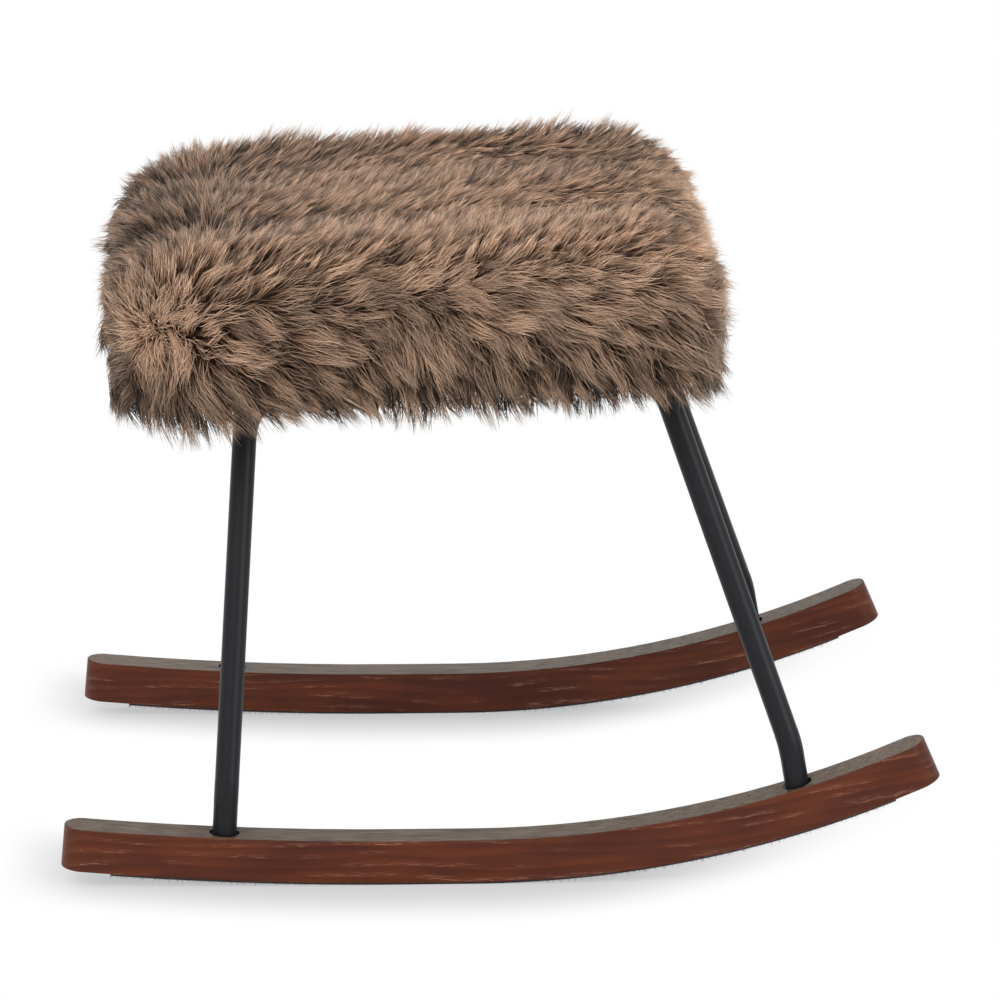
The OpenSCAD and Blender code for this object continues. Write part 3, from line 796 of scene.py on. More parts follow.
def rocker_run(x):
    """Distance along the underside from the middle of the model."""
    run = x
    for start, sign, radius in ROCKER_ARCS:
        ahead = max(sign * (x - start), 0.0)
        run += sign * (radius * math.asin(ahead / radius) - ahead)
    return run


def felt_mesh(name, low, high):
    """A strip of felt along the underside of a rocker: its top in the groove, and swollen below it."""
    size = sizes()
    x = np.linspace(low[0] + FELT_END, high[0] - FELT_END, FELT_POINTS)
    height, slope = rocker_curve(x)
    middle = (low[1] + high[1]) / 2
    groove = (high[1] - low[1]) / 2
    wide = groove + size.felt_swell
    edge = wide - FELT_EASE
    thick = size.felt_thickness
    lip = thick - GROOVE_DEPTH
    section = (
        (-groove, lip),
        (-groove, thick),
        (groove, thick),
        (groove, lip),
        (edge, lip),
        (wide, FELT_EASE),
        (edge, 0.0),
        (-edge, 0.0),
        (-wide, FELT_EASE),
        (-edge, lip),
    )
    rows, count = len(section), len(x)
    lines = [
        np.stack([x - slope * up, np.full(count, middle + across), height + up], 1)
        for across, up in section
    ]
    faces = [tuple(range(rows)), tuple(reversed(range((count - 1) * rows, count * rows)))]
    for i in range(0, (count - 1) * rows, rows):
        for j in range(rows):
            after = (j + 1) % rows
            faces.append((i + j, i + rows + j, i + rows + after, i + after))
    mesh = new_mesh(name, np.stack(lines, 1).reshape(-1, 3), faces, False)
    # The faces are turned outwards
    made = bmesh.new()
    made.from_mesh(mesh)
    bmesh.ops.recalc_face_normals(made, faces=made.faces)
    made.to_mesh(mesh)
    made.free()
    return mesh


FIBRE_INPUTS = (
    ("Density", "NodeSocketFloat"),
    ("Length", "NodeSocketFloat"),
    ("Thickness", "NodeSocketFloat"),
    ("Seed", "NodeSocketInt"),
    ("Material", "NodeSocketMaterial"),
)


def fibre_tree():
    """Geometry Nodes that leave a strip as it is and scatter loose fibres over its edges."""
    tree, given = node_group("Loose fibres", FIBRE_INPUTS)
    scatter = {"Mesh": given["Geometry"], "Density": given["Density"], "Seed": given["Seed"]}
    spots = add(tree, SCATTER, scatter, distribute_method="RANDOM").outputs
    # None grows up into the wood
    facing = add(tree, "ShaderNodeSeparateXYZ", {0: spots["Normal"]}).outputs["Z"]
    inside = {0: facing, 1: 0.5}
    inside = add(tree, "FunctionNodeCompare", inside, data_type="FLOAT", operation="GREATER_THAN")
    kept = {"Geometry": spots["Points"], "Selection": inside}
    kept = add(tree, "GeometryNodeDeleteGeometry", kept, domain="POINT")
    cone = {"Radius Bottom": given["Thickness"], "Depth": given["Length"]}
    cone = cone | {"Vertices": 3, "Radius Top": 0.0}
    fibre = add(tree, "GeometryNodeMeshCone", cone, fill_type="NGON")
    stray = {0: (-0.9, -0.9, -0.9), 1: (0.9, 0.9, 0.5), "Seed": given["Seed"]}
    stray = add(tree, "FunctionNodeRandomValue", stray, data_type="FLOAT_VECTOR")
    way = add(tree, VECTOR_MATH, {0: spots["Normal"], 1: stray}, operation="ADD")
    turn = add(tree, "FunctionNodeAlignRotationToVector", {"Vector": way}, axis="Z")
    part = {2: 0.35, 3: 1.0, "Seed": given["Seed"]}
    part = add(tree, "FunctionNodeRandomValue", part, data_type="FLOAT")
    loose = {"Points": kept, "Instance": fibre, "Rotation": turn, "Scale": part}
    loose = add(tree, "GeometryNodeInstanceOnPoints", loose)
    loose = add(tree, "GeometryNodeRealizeInstances", {"Geometry": loose})
    # Nothing lies below the floor
    place = {0: add(tree, "GeometryNodeInputPosition"), 1: (-1.0, -1.0, 0.05 * MM)}
    place = add(tree, VECTOR_MATH, place, operation="MAXIMUM")
    laid = add(tree, "GeometryNodeSetPosition", {"Geometry": loose, "Position": place})
    joined = add(tree, "GeometryNodeJoinGeometry", {0: laid})
    tree.links.new(given["Geometry"], joined.inputs[0])
    finished_group(tree, joined, given["Material"])
    return tree


# Pile

# Brushed places on the cover in the seat frame, in mm: where, the way the tips lie, and the reach
BRUSHED = (
    # right side, seen in front: up over the ridge above the parting, and down and ahead below it
    ((-190, -213, 88), (-0.2, 0.2, 1.0), 28),
    ((-120, -213, 86), (0.35, 0.3, 1.0), 34),
    ((-40, -213, 90), (0.45, 0.3, 1.0), 36),
    ((40, -213, 92), (0.1, 0.3, 1.0), 36),
    ((110, -213, 94), (0.2, 0.3, 1.0), 36),
    ((180, -213, 98), (0.6, 0.2, 0.8), 30),
    ((-205, -213, 66), (-0.8, 0.0, 0.5), 20),
    ((-205, -213, 44), (-0.8, 0.0, -0.6), 20),
    ((-200, -213, 26), (-0.4, 0.0, -1.0), 22),
    ((-190, -213, 8), (-0.3, 0.0, -1.0), 26),
    ((-165, -213, 22), (0.0, 0.0, -1.0), 20),
    ((-160, -213, 4), (0.15, 0.0, -1.0), 24),
    ((-150, -213, 72), (0.5, 0.0, 0.9), 22),
    ((-140, -213, 45), (1.0, 0.0, 0.05), 28),
    ((-90, -213, 40), (1.0, 0.0, -0.25), 34),
    ((-110, -213, 12), (0.7, 0.0, -0.9), 28),
    ((-45, -213, 30), (0.6, 0.0, -1.0), 30),
    ((-10, -213, 52), (0.15, 0.0, -1.0), 30),
    ((30, -213, 20), (0.1, 0.0, -1.0), 40),
    ((80, -213, 35), (0.55, 0.0, -1.0), 34),
    ((120, -213, 50), (1.0, 0.0, -0.8), 30),
    ((160, -213, 34), (0.6, 0.0, -1.0), 26),
    ((190, -213, 60), (1.0, 0.0, -0.15), 28),
    ((115, -213, 6), (0.15, 0.0, -1.0), 26),
    ((155, -213, 4), (0.15, 0.0, -1.0), 26),
    ((195, -213, 5), (0.35, 0.0, -1.0), 26),
    # half up along the parting
    ((-120, -213, 66), (1.0, 0.0, 0.35), 17),
    ((-60, -213, 66), (1.0, 0.0, 0.1), 19),
    ((0, -213, 70), (0.9, 0.0, -0.2), 19),
    ((60, -213, 66), (1.0, 0.0, 0.1), 19),
    ((120, -213, 74), (1.0, 0.0, -0.2), 17),
    # front end
    ((206, -160, 60), (0.4, 0.5, 0.1), 34),
    ((206, -80, 70), (0.4, 0.3, 0.6), 40),
    ((206, 60, 70), (0.4, 0.2, 0.5), 50),
    ((206, 160, 60), (0.4, 0.5, 0.2), 40),
    ((206, -110, 15), (0.2, -0.2, -1.0), 44),
    ((206, 0, 15), (0.2, 0.2, -1.0), 44),
    ((206, 110, 15), (0.2, 0.3, -1.0), 44),
    # rear end
    ((-206, -150, 70), (-0.5, 0.4, 0.5), 36),
    ((-206, -50, 70), (-0.5, 0.5, 0.3), 44),
    ((-206, 60, 70), (-0.5, 0.6, 0.1), 44),
    ((-206, 160, 70), (-0.5, 0.7, -0.1), 36),
    ((-206, -110, 15), (-0.2, 0.2, -1.0), 44),
    ((-206, 10, 15), (-0.2, 0.4, -1.0), 44),
    ((-206, 120, 15), (-0.2, 0.5, -1.0), 44),
    # left side
    ((-160, 213, 75), (0.6, 0.2, 0.5), 40),
    ((-50, 213, 75), (0.7, 0.2, 0.7), 44),
    ((60, 213, 75), (0.6, 0.2, 0.8), 44),
    ((160, 213, 75), (0.7, 0.2, 0.6), 40),
    ((-160, 213, 20), (0.5, 0.0, -1.0), 44),
    ((-40, 213, 20), (0.6, 0.0, -1.0), 44),
    ((70, 213, 20), (0.4, 0.0, -1.0), 44),
    ((160, 213, 20), (0.6, 0.0, -1.0), 44),
    # top, along the far edge
    ((-185, 190, 92), (-0.6, 0.5, 0.0), 34),
    ((-110, 190, 95), (0.8, 0.35, 0.0), 34),
    ((-30, 190, 97), (0.8, 0.2, 0.0), 34),
    ((50, 190, 99), (0.8, -0.5, 0.0), 34),
    ((120, 190, 100), (0.5, 0.1, 0.0), 34),
    ((185, 180, 98), (0.7, 0.3, 0.0), 34),
    # top, down into the left furrow from its far bank and up over its near one
    ((-180, 110, 93), (-0.6, 0.5, 0.0), 30),
    ((-100, 115, 95), (0.9, 0.4, 0.0), 32),
    ((-30, 110, 96), (0.9, -0.1, 0.0), 30),
    ((40, 110, 98), (0.8, -0.6, 0.0), 30),
    ((100, 110, 99), (0.7, -0.7, 0.0), 30),
    ((160, 110, 99), (0.8, -0.2, 0.0), 30),
    ((-180, 30, 95), (-0.5, 0.5, 0.0), 32),
    ((-100, 30, 97), (0.9, 0.5, 0.0), 32),
    ((-30, 35, 98), (0.8, 0.6, 0.0), 30),
    ((40, 35, 99), (0.7, 0.8, 0.0), 28),
    ((100, 35, 100), (0.8, 0.6, 0.0), 28),
    ((165, 35, 101), (0.9, 0.2, 0.0), 32),
    # top, the same at the right furrow
    ((-180, -50, 94), (-0.5, 0.3, 0.0), 32),
    ((-100, -45, 96), (1.0, 0.1, 0.0), 30),
    ((-30, -45, 97), (0.9, 0.3, 0.0), 30),
    ((40, -45, 98), (0.9, -0.1, 0.0), 30),
    ((100, -50, 99), (0.8, -0.6, 0.0), 28),
    ((165, -60, 100), (0.8, -0.6, 0.0), 30),
    ((-180, -130, 92), (-0.6, 0.4, 0.0), 32),
    ((-110, -130, 95), (0.9, 0.5, 0.0), 32),
    ((-40, -130, 97), (0.8, 0.7, 0.0), 32),
    ((40, -130, 98), (0.6, 0.8, 0.0), 32),
    ((110, -130, 99), (0.6, 0.7, 0.0), 32),
    ((175, -130, 99), (0.7, 0.3, 0.0), 32),
)
# Patches of painted shade on the pile's tones, and of painted light where the value is below zero, in mm:
# where, how far each reaches, and how dark it is painted
PAINTED_PATCHES = (
    ((-150, -30, 95), (50, 140, 60), 0.6),
    ((-150, 160, 95), (60, 50, 60), 0.14),
    ((135, 160, 99), (60, 50, 60), 0.14),
    ((-165, -110, 90), (45, 40, 50), 0.2),
    ((-70, 130, 96), (50, 40, 60), 0.24),
    ((0, 50, 98), (22, 30, 60), 0.16),
    ((115, 60, 97), (38, 45, 60), 0.48),
    ((172, -85, 95), (32, 32, 40), 0.45),
    ((35, -213, 66), (95, 40, 22), 0.42),
    ((140, -213, 15), (45, 40, 40), 0.1),
    ((-135, -213, 40), (45, 40, 40), -0.12),
    ((-95, -205, 90), (35, 30, 18), -0.2),
    ((140, -175, 98), (45, 30, 40), -0.2),
)
PILE_MAP = "OFBake"
# The reach of a tip as a share of the pile's length: the darkest strand's, and what the palest adds
LOCK_REACH = (0.9, 0.24)
STRAND_REACH = (0.68, 0.36)
# A strand's knee: how far it is up from the root, and how far along the comb
KNEE_RISE = 0.42
KNEE_RUN = 0.12
# What the skin tells the pile at each place, and what a strand keeps of its root and its blade
FIELDS = {
    "FLOAT_VECTOR": ("comb", "root", "knee", "tip", "blade"),
    "FLOAT": (
        "pile",
        "lift",
        "growth",
        "gather",
        "tangle",
        "crowd",
        "variety",
        "shade",
        "painted_light",
        "tone",
        "phase",
    ),
    "INT": ("panel",),
}
# Panels that the pile is grown in: the halves of each side, and bands of the top from right to left
PILE_PANELS = (
    "pile_right_rear",
    "pile_right_front",
    "pile_left_rear",
    "pile_left_front",
    "pile_rear_right",
    "pile_rear_left",
    "pile_front_right",
    "pile_front_left",
    "pile_top_1",
    "pile_top_2",
    "pile_top_3",
    "pile_top_4",
    "pile_top_5",
    "pile_top_6",
)
TOP_BANDS = 6
TOP_NORMAL = 0.72
PILE_INPUTS = (
    ("Density", "NodeSocketFloat"),
    ("Panel", "NodeSocketInt"),
    ("Strand Width", "NodeSocketFloat"),
    ("Segments", "NodeSocketInt"),
    ("Lock Spacing", "NodeSocketFloat"),
    ("Lock Pull", "NodeSocketFloat"),
    ("Wave", "NodeSocketFloat"),
    ("Ruffle", "NodeSocketFloat"),
    ("Sweep", "NodeSocketFloat"),
    ("Droop", "NodeSocketFloat"),
    ("Seed", "NodeSocketInt"),
    ("Material", "NodeSocketMaterial"),
)


def comb_field(places, normals):
    """The way the tips lie at each place, along the surface, in the seat frame, and how far the pile
    parts there because the brushed ways meet."""
    at, way, reach = (np.array(part, float) for part in zip(*BRUSHED))
    way /= np.linalg.norm(way, axis=1, keepdims=True)
    apart = np.linalg.norm(places[:, None] - at[None] * MM, axis=2) / (reach[None] * MM)
    weight = np.exp(-0.5 * apart**2) + 1e-9
    combed = (weight @ way) / weight.sum(1)[:, None]
    combed -= normals * (combed * normals).sum(1)[:, None]
    strength = np.linalg.norm(combed, axis=1, keepdims=True)
    laid = combed / np.maximum(strength, 1e-6) * np.clip(strength * 2.4, 0.55, 1.0)
    return laid, 1 - np.clip(strength[:, 0] * 1.3, 0.05, 1.0)


def panel_of(places, normals):
    """The index of the pile panel that each face belongs to."""
    x, y, _ = places.T
    size = sizes()
    half_l, half_w = size.cushion_length / 2, size.cushion_width / 2
    on_side = half_l * np.abs(y) > half_w * np.abs(x)
    side = np.where(y < 0, 0, 2) + (x > 0)
    end = np.where(x < 0, 4, 6) + (y > 0)
    band = np.clip(((y / (half_w * 0.9) + 1) / 2 * TOP_BANDS).astype(int), 0, TOP_BANDS - 1)
    return np.where(normals[:, 2] > TOP_NORMAL, 8 + band, np.where(on_side, side, end))


def prepare_hide(mesh, undercoat=False):
    """Writes on a skin how the pile grows from it, and gives the skin's area."""
    size = sizes()
    places = to_seat(read(mesh.vertices, "co"))
    normals = read(mesh.vertex_normals, "vector") @ SEAT_AXES
    x, y, z = places.T
    comb, parted = comb_field(places, normals)
    top, under = ramp(normals[:, 2], 0.3, 0.8), normals[:, 2] < -0.5
    low, hem = ramp(z, 0.06, 0), ramp(z, 0.03, 0)
    ahead, behind = np.maximum(normals[:, 0], 0), np.maximum(-normals[:, 0], 0)
    ends = np.abs(normals[:, 0]) * (1 - top)
    # Where the top was brushed to the right, and its far edge ahead of the rear corner
    facing = np.maximum(-comb[:, 1] * top, 0)
    edge = ramp(y, 0.11, 0.18) * ramp(x, -0.17, -0.11)
    edge *= (1.25 - 2.2 * np.clip(x + 0.1, 0, 0.15)) * np.maximum(normals[:, 2], 0) ** 3

    # The pile is shorter on the top, at the front and the rear, and where it parts
    pile = size.strand_length * (1 - 0.4 * top - (0.1 * behind + 0.11 * ahead) * (1 - 1.6 * low))
    pile *= 1 - 0.34 * parted**2 * (1 - top)
    # It bulges forward at the near front corner, hangs longest beside the near rear one, and is rounded
    # off at that one's foot
    pile *= 1 + 0.3 * ahead * near(places, (200, -200, 55), 50)
    pile *= 1 + 0.22 * near(places, (-130, -200, 0), 70) - 0.45 * near(places, (-205, -205, 0), 40)
    pile *= 1 + 0.35 * facing + 0.12 * edge
    # It is cropped under the board, and hangs lower at the rear
    pile = np.where(under, size.strand_length * 0.56, pile)
    pile *= 1 - 0.12 * hem - 0.14 * hem * np.clip(x, -0.2, 0.03) / 0.2

    # It stands up on the top, least where it was brushed down into the furrows and most along the far
    # edge, lies flatter at the rear end, and stands off the foot of the front end
    lift = 0.5 + 0.4 * top - 0.2 * parted**2 - 0.12 * np.abs(normals[:, 0]) ** 3
    lift -= 0.22 * np.maximum(comb[:, 0], 0) * top + 0.5 * facing + 0.06 * behind
    lift += 0.22 * low * ahead + 0.32 * edge - 0.08 * np.abs(normals[:, 1]) ** 3

    # It is thick along the lower edge and where it parts
    growth = 0.86 + 1.3 * hem + parted + 3 * parted**3 + 0.4 * ends - 0.17 * ahead * (1 - top)
    growth = np.where(under, 0.35, growth)
    if undercoat:
        pile *= 0.5 + 0.1 * parted
        lift = np.full_like(lift, 0.7)
        growth = np.where(under, 0.0, 0.2 - 0.15 * top + 4 * parted**2 + 0.4 * parted)

    # Painted light and shade in the strands' tones: painted shade along the hem, the far edge and the
    # ends, on the near side, in the furrows and in the listed patches, and painted light on the near
    # ridge, where the pile parts and its roots lie in shade, and in the patches listed as lighter
    furrow_shade = bell(y, -0.08, 0.02) + bell(y, 0.075, 0.02)
    furrow_shade *= (0.25 + 0.75 * (2 * x / size.cushion_length) ** 2) * top
    ridge_light = bell(y, -0.19, 0.03) * ramp(z, 0.06, 0.09)
    face_shade = np.clip(-normals[:, 1], 0, 1) * (1 - ridge_light)
    painted_light = parted * (0.7 - 0.6 * top) - 0.25 * furrow_shade + 0.18 * ridge_light - 0.14 * face_shade
    painted_light -= 0.12 * ramp(y, 0.06, 0.18) + 0.4 * ends**2 + 0.5 * ramp(z, 0.045, 0)
    for place, reach, depth in PAINTED_PATCHES:
        painted_light -= depth * near(places, place, reach)

    write_attribute(mesh, "comb", "FLOAT_VECTOR", "POINT", comb @ SEAT_AXES.T)
    for name, values in (
        ("pile", pile),
        ("lift", lift),
        ("growth", growth),
        ("gather", np.clip(1.25 - 0.6 * parted + 0.2 * hem + 0.35 * top, 0.2, 1.6)),
        ("painted_light", painted_light),
        ("tangle", 1 + 0.4 * parted + 0.9 * parted**3 - 0.3 * top - 0.5 * hem),
        ("variety", 0.8 + 1.1 * top + 0.4 * low - 0.4 * parted),
        # How high the root colour reaches: higher on the top as painted shade between locks, lower where
        # the pile parts as painted light
        ("shade", (1 + 1.5 * top**2) * (1 - 0.6 * parted)),
        ("crowd", np.clip(0.24 + 0.5 * hem + 0.76 * top, 0, 1)),
    ):
        write_attribute(mesh, name, "FLOAT", "POINT", values)
    middles = to_seat(read(mesh.polygons, "center"))
    panels = panel_of(middles, read(mesh.polygons, "normal") @ SEAT_AXES)
    write_attribute(mesh, "panel", "INT", "FACE", panels.astype(np.int32))
    return float(read(mesh.polygons, "area", 1).ravel().sum())


def pile_tree():
    """Geometry Nodes that grow a combed pile: roots scattered on a skin, tips gathered into locks, and
    each strand a three-sided tapered blade bent from its root over to its tip."""
    tree, given = node_group("Combed pile", PILE_INPUTS)
    where = add(tree, "GeometryNodeInputPosition")
    field = {}
    for kind, names in FIELDS.items():
        for name in names:
            named = {"Name": name}
            field[name] = add(tree, "GeometryNodeInputNamedAttribute", named, data_type=kind)

    # What is left to chance, each from a seed of its own
    chance = {}
    for name, kind, low, high, step in (
        ("stray", "FLOAT_VECTOR", (-0.24, -0.24, -0.24), (0.24, 0.24, 0.24), 2),
        ("pull", "FLOAT", 0.2, 1.4, 3),
        ("tone", "FLOAT", 0.0, 1.0, 4),
        ("phase", "FLOAT", 0.0, 2.2, 5),
        ("lock stray", "FLOAT_VECTOR", (-0.2, -0.2, -0.14), (0.2, 0.2, 0.14), 13),
        ("lock tone", "FLOAT", 0.0, 1.0, 14),
    ):
        seed = add(tree, MATH, {0: given["Seed"], 1: step}, operation="ADD")
        first = 0 if kind == "FLOAT_VECTOR" else 2
        between = {first: low, first + 1: high, "Seed": seed}
        chance[name] = add(tree, "FunctionNodeRandomValue", between, data_type=kind)

    # Neighbouring locks lean alike, and turn this way and that over 30 mm. The line between two locks
    # wanders over 8 mm
    drift = {}
    for name, scale, detail in (("turn", 1 / (30 * MM), 2.0), ("line", 120.0, 1.0)):
        drift[name] = {"Vector": where, "Scale": scale, "Detail": detail}
        drift[name] = add(tree, "ShaderNodeTexNoise", drift[name], noise_dimensions="3D")
        centred = {0: drift[name].outputs["Color"], 1: (0.5, 0.5, 0.5)}
        drift[name] = add(tree, VECTOR_MATH, centred, operation="SUBTRACT")
    ruffle = add(tree, MATH, {0: given["Ruffle"], 1: 5.0}, operation="MULTIPLY")
    ruffle = add(tree, MATH, {0: ruffle, 1: field["tangle"]}, operation="MULTIPLY")

    def tip_of(normal, stray, tone, least, more):
        """A tip's place: up from the skin, along the comb, and down with its weight. A longer strand is
        also a paler one."""
        stretch = add(tree, MATH, {0: tone, 1: more, 2: least}, operation="MULTIPLY_ADD")
        reach = add(tree, MATH, {0: field["pile"], 1: stretch}, operation="MULTIPLY")
        lean = moved(
            tree,
            (0.0, 0.0, 0.0),
            (normal, field["lift"]),
            (field["comb"], given["Sweep"]),
            ((0.0, 0.0, -1.0), given["Droop"]),
            (stray, field["tangle"]),
            (drift["turn"], ruffle),
        )
        return moved(tree, where, (lean, reach))

    # Locks: a thin scatter of places whose tips gather the strands around them
    scatter = {
        "Mesh": given["Geometry"],
        "Distance Min": given["Lock Spacing"],
        "Density Max": 120000.0,
        "Density Factor": field["crowd"],
        "Seed": add(tree, MATH, {0: given["Seed"], 1: 11.0}, operation="ADD"),
    }
    locks = add(tree, SCATTER, scatter, distribute_method="POISSON").outputs
    lock_tip = tip_of(locks["Normal"], chance["lock stray"], chance["lock tone"], *LOCK_REACH)
    nearest = {"Geometry": locks["Points"]}
    nearest["Sample Position"] = moved(tree, where, (drift["line"], 0.012))
    nearest = add(tree, "GeometryNodeSampleNearest", nearest, domain="POINT")
    lock = {}
    for kind, value in (("FLOAT_VECTOR", lock_tip), ("FLOAT", chance["lock tone"])):
        lock[kind] = {"Geometry": locks["Points"], "Value": value, "Index": nearest}
        lock[kind] = add(
            tree, "GeometryNodeSampleIndex", lock[kind], data_type=kind, domain="POINT"
        )

    # Roots, in one panel only, or all over where the panel is below zero
    dense = add(tree, MATH, {0: given["Density"], 1: field["growth"]}, operation="MULTIPLY")
    scatter = {"Mesh": given["Geometry"], "Density": dense, "Seed": given["Seed"]}
    roots = add(tree, SCATTER, scatter, distribute_method="RANDOM").outputs
    tests = []
    for a, b, test in (
        (field["panel"], given["Panel"], "NOT_EQUAL"),
        (given["Panel"], 0, "GREATER_EQUAL"),
    ):
        tests.append(
            add(tree, "FunctionNodeCompare", {2: a, 3: b}, data_type="INT", operation=test)
        )
    elsewhere = add(tree, "FunctionNodeBooleanMath", {0: tests[0], 1: tests[1]}, operation="AND")
    strands = {"Geometry": roots["Points"], "Selection": elsewhere}
    strands = add(tree, "GeometryNodeDeleteGeometry", strands, domain="POINT")

    # A strand's tip is pulled over to its lock's, and its knee stands up from the root
    tip = tip_of(roots["Normal"], chance["stray"], chance["tone"], *STRAND_REACH)
    pull = add(tree, MATH, {0: given["Lock Pull"], 1: field["gather"]}, operation="MULTIPLY")
    pull = add(tree, MATH, {0: pull, 1: chance["pull"]}, operation="MULTIPLY")
    tip = {0: pull, 4: tip, 5: lock["FLOAT_VECTOR"]}
    tip = add(tree, "ShaderNodeMix", tip, data_type="VECTOR", clamp_factor=True)
    rise = add(tree, MATH, {0: field["pile"], 1: KNEE_RISE}, operation="MULTIPLY")
    run = add(tree, MATH, {0: field["pile"], 1: KNEE_RUN}, operation="MULTIPLY")
    knee = moved(tree, where, (roots["Normal"], rise), (field["comb"], run))

    # The tones spread about their mean, and further apart on the top
    tone = add(tree, MATH, {0: chance["tone"], 1: chance["tone"]}, operation="MULTIPLY")
    tone = add(tree, MATH, {0: tone, 1: 0.6, 2: -0.55}, operation="MULTIPLY_ADD")
    tone = add(tree, MATH, {0: lock["FLOAT"], 1: 0.7, 2: tone}, operation="MULTIPLY_ADD")
    tone = add(tree, MATH, {0: tone, 1: field["variety"], 2: 0.45}, operation="MULTIPLY_ADD")
    # The painted light and shade written on the skin brighten or darken the tone
    tone = add(tree, MATH, {0: tone, 1: field["painted_light"]}, operation="ADD")
    phase = {0: lock["FLOAT"], 1: 25.0, 2: chance["phase"]}
    phase = add(tree, MATH, phase, operation="MULTIPLY_ADD")

    # A blade one unit high: its place across and along is kept before it is bent
    cone = {"Vertices": 3, "Side Segments": given["Segments"]}
    cone = cone | {"Radius Top": 0.0, "Radius Bottom": 1.0, "Depth": 1.0}
    blade = add(tree, "GeometryNodeMeshCone", cone, fill_type="NGON")
    kept = {"Geometry": blade, "Name": "blade", "Value": where}
    blade = add(tree, STORE, kept, data_type="FLOAT_VECTOR", domain="POINT")
    for kind, name, value in (
        ("FLOAT_VECTOR", "root", where),
        ("FLOAT_VECTOR", "knee", knee),
        ("FLOAT_VECTOR", "tip", tip),
        ("FLOAT", "tone", tone),
        ("FLOAT", "phase", phase),
        ("FLOAT", "shade", field["shade"]),
    ):
        kept = {"Geometry": strands, "Name": name, "Value": value}
        strands = add(tree, STORE, kept, data_type=kind, domain="POINT")
    strands = {"Points": strands, "Instance": blade}
    strands = add(tree, "GeometryNodeInstanceOnPoints", strands)
    strands = add(tree, "GeometryNodeRealizeInstances", {"Geometry": strands})

    # The curve from the root over the knee to the tip, and two ways across it
    blade = add(tree, "ShaderNodeSeparateXYZ", {0: field["blade"]}).outputs
    t = blade["Z"]
    square = add(tree, MATH, {0: t, 1: t}, operation="MULTIPLY")
    bend = add(tree, MATH, {0: t, 1: 2.0}, operation="MULTIPLY")
    bend = add(tree, MATH, {0: square, 1: -2.0, 2: bend}, operation="MULTIPLY_ADD")
    side = add(tree, VECTOR_MATH, {0: field["knee"], 1: field["root"]}, operation="SUBTRACT")
    span = add(tree, VECTOR_MATH, {0: field["tip"], 1: field["root"]}, operation="SUBTRACT")
    chord = add(tree, VECTOR_MATH, {0: span}, operation="NORMALIZE")
    first = add(tree, VECTOR_MATH, {0: chord, 1: side}, operation="CROSS_PRODUCT")
    first = add(tree, VECTOR_MATH, {0: first}, operation="NORMALIZE")
    second = add(tree, VECTOR_MATH, {0: chord, 1: first}, operation="CROSS_PRODUCT")

    # A blade's thickness, and a slow wave that a lock shares and that grows towards the tips
    thick = add(tree, MATH, {0: t, 1: 1.1, 2: 0.42}, operation="MULTIPLY_ADD")
    thick = add(tree, MATH, {0: given["Strand Width"], 1: thick}, operation="MULTIPLY")
    reach = add(tree, VECTOR_MATH, {0: span}, operation="LENGTH")
    reach = add(tree, MATH, {0: given["Wave"], 1: reach}, operation="MULTIPLY")
    reach = add(tree, MATH, {0: reach, 1: t}, operation="MULTIPLY")
    swing = add(tree, MATH, {0: t, 1: 4.8, 2: field["phase"]}, operation="MULTIPLY_ADD")
    steps = [(side, bend), (span, square)]
    for way, across, wave in ((first, "X", "SINE"), (second, "Y", "COSINE")):
        out = add(tree, MATH, {0: swing}, operation=wave)
        out = add(tree, MATH, {0: reach, 1: out}, operation="MULTIPLY")
        out = add(tree, MATH, {0: blade[across], 1: thick, 2: out}, operation="MULTIPLY_ADD")
        steps.append((way, out))
    bent = {"Geometry": strands, "Position": moved(tree, field["root"], *steps)}
    bent = add(tree, "GeometryNodeSetPosition", bent)

    # On the top, only the ends of the strands show, so the dark root colour reaches higher there, a
    # painted shade in the slits between the locks; where the pile parts it reaches less high, a painted
    # light over the shaded roots
    ripe = add(tree, MATH, {0: t, 1: 0.0}, operation="MAXIMUM")
    ripe = add(tree, MATH, {0: ripe, 1: field["shade"]}, operation="POWER")
    spot = add(tree, "ShaderNodeCombineXYZ", {"X": field["tone"], "Y": ripe})
    mapped = {"Geometry": bent, "Name": PILE_MAP, "Value": spot}
    mapped = add(tree, STORE, mapped, data_type="FLOAT2", domain="CORNER")
    smooth = add(tree, "GeometryNodeSetShadeSmooth", {"Geometry": mapped})
    finished_group(tree, smooth, given["Material"])
    return tree


# Operators

# Name, place, size and power
LAMPS = (
    ("key", (-1.1, -1.9, 2.3), 1.6, 41.0),
    ("fill", (2.1, -1.9, 1.3), 1.8, 30.0),
    ("back", (0.2, 1.6, 2.9), 1.8, 20.0),
)
LAMP_AIM = (0.0, 0.0, 0.25)
FLOOR_REACH = 6
# How far behind a rocker its painted shadow falls, as a multiple of how far the rocker rises
SHADE_LAG = 3.4


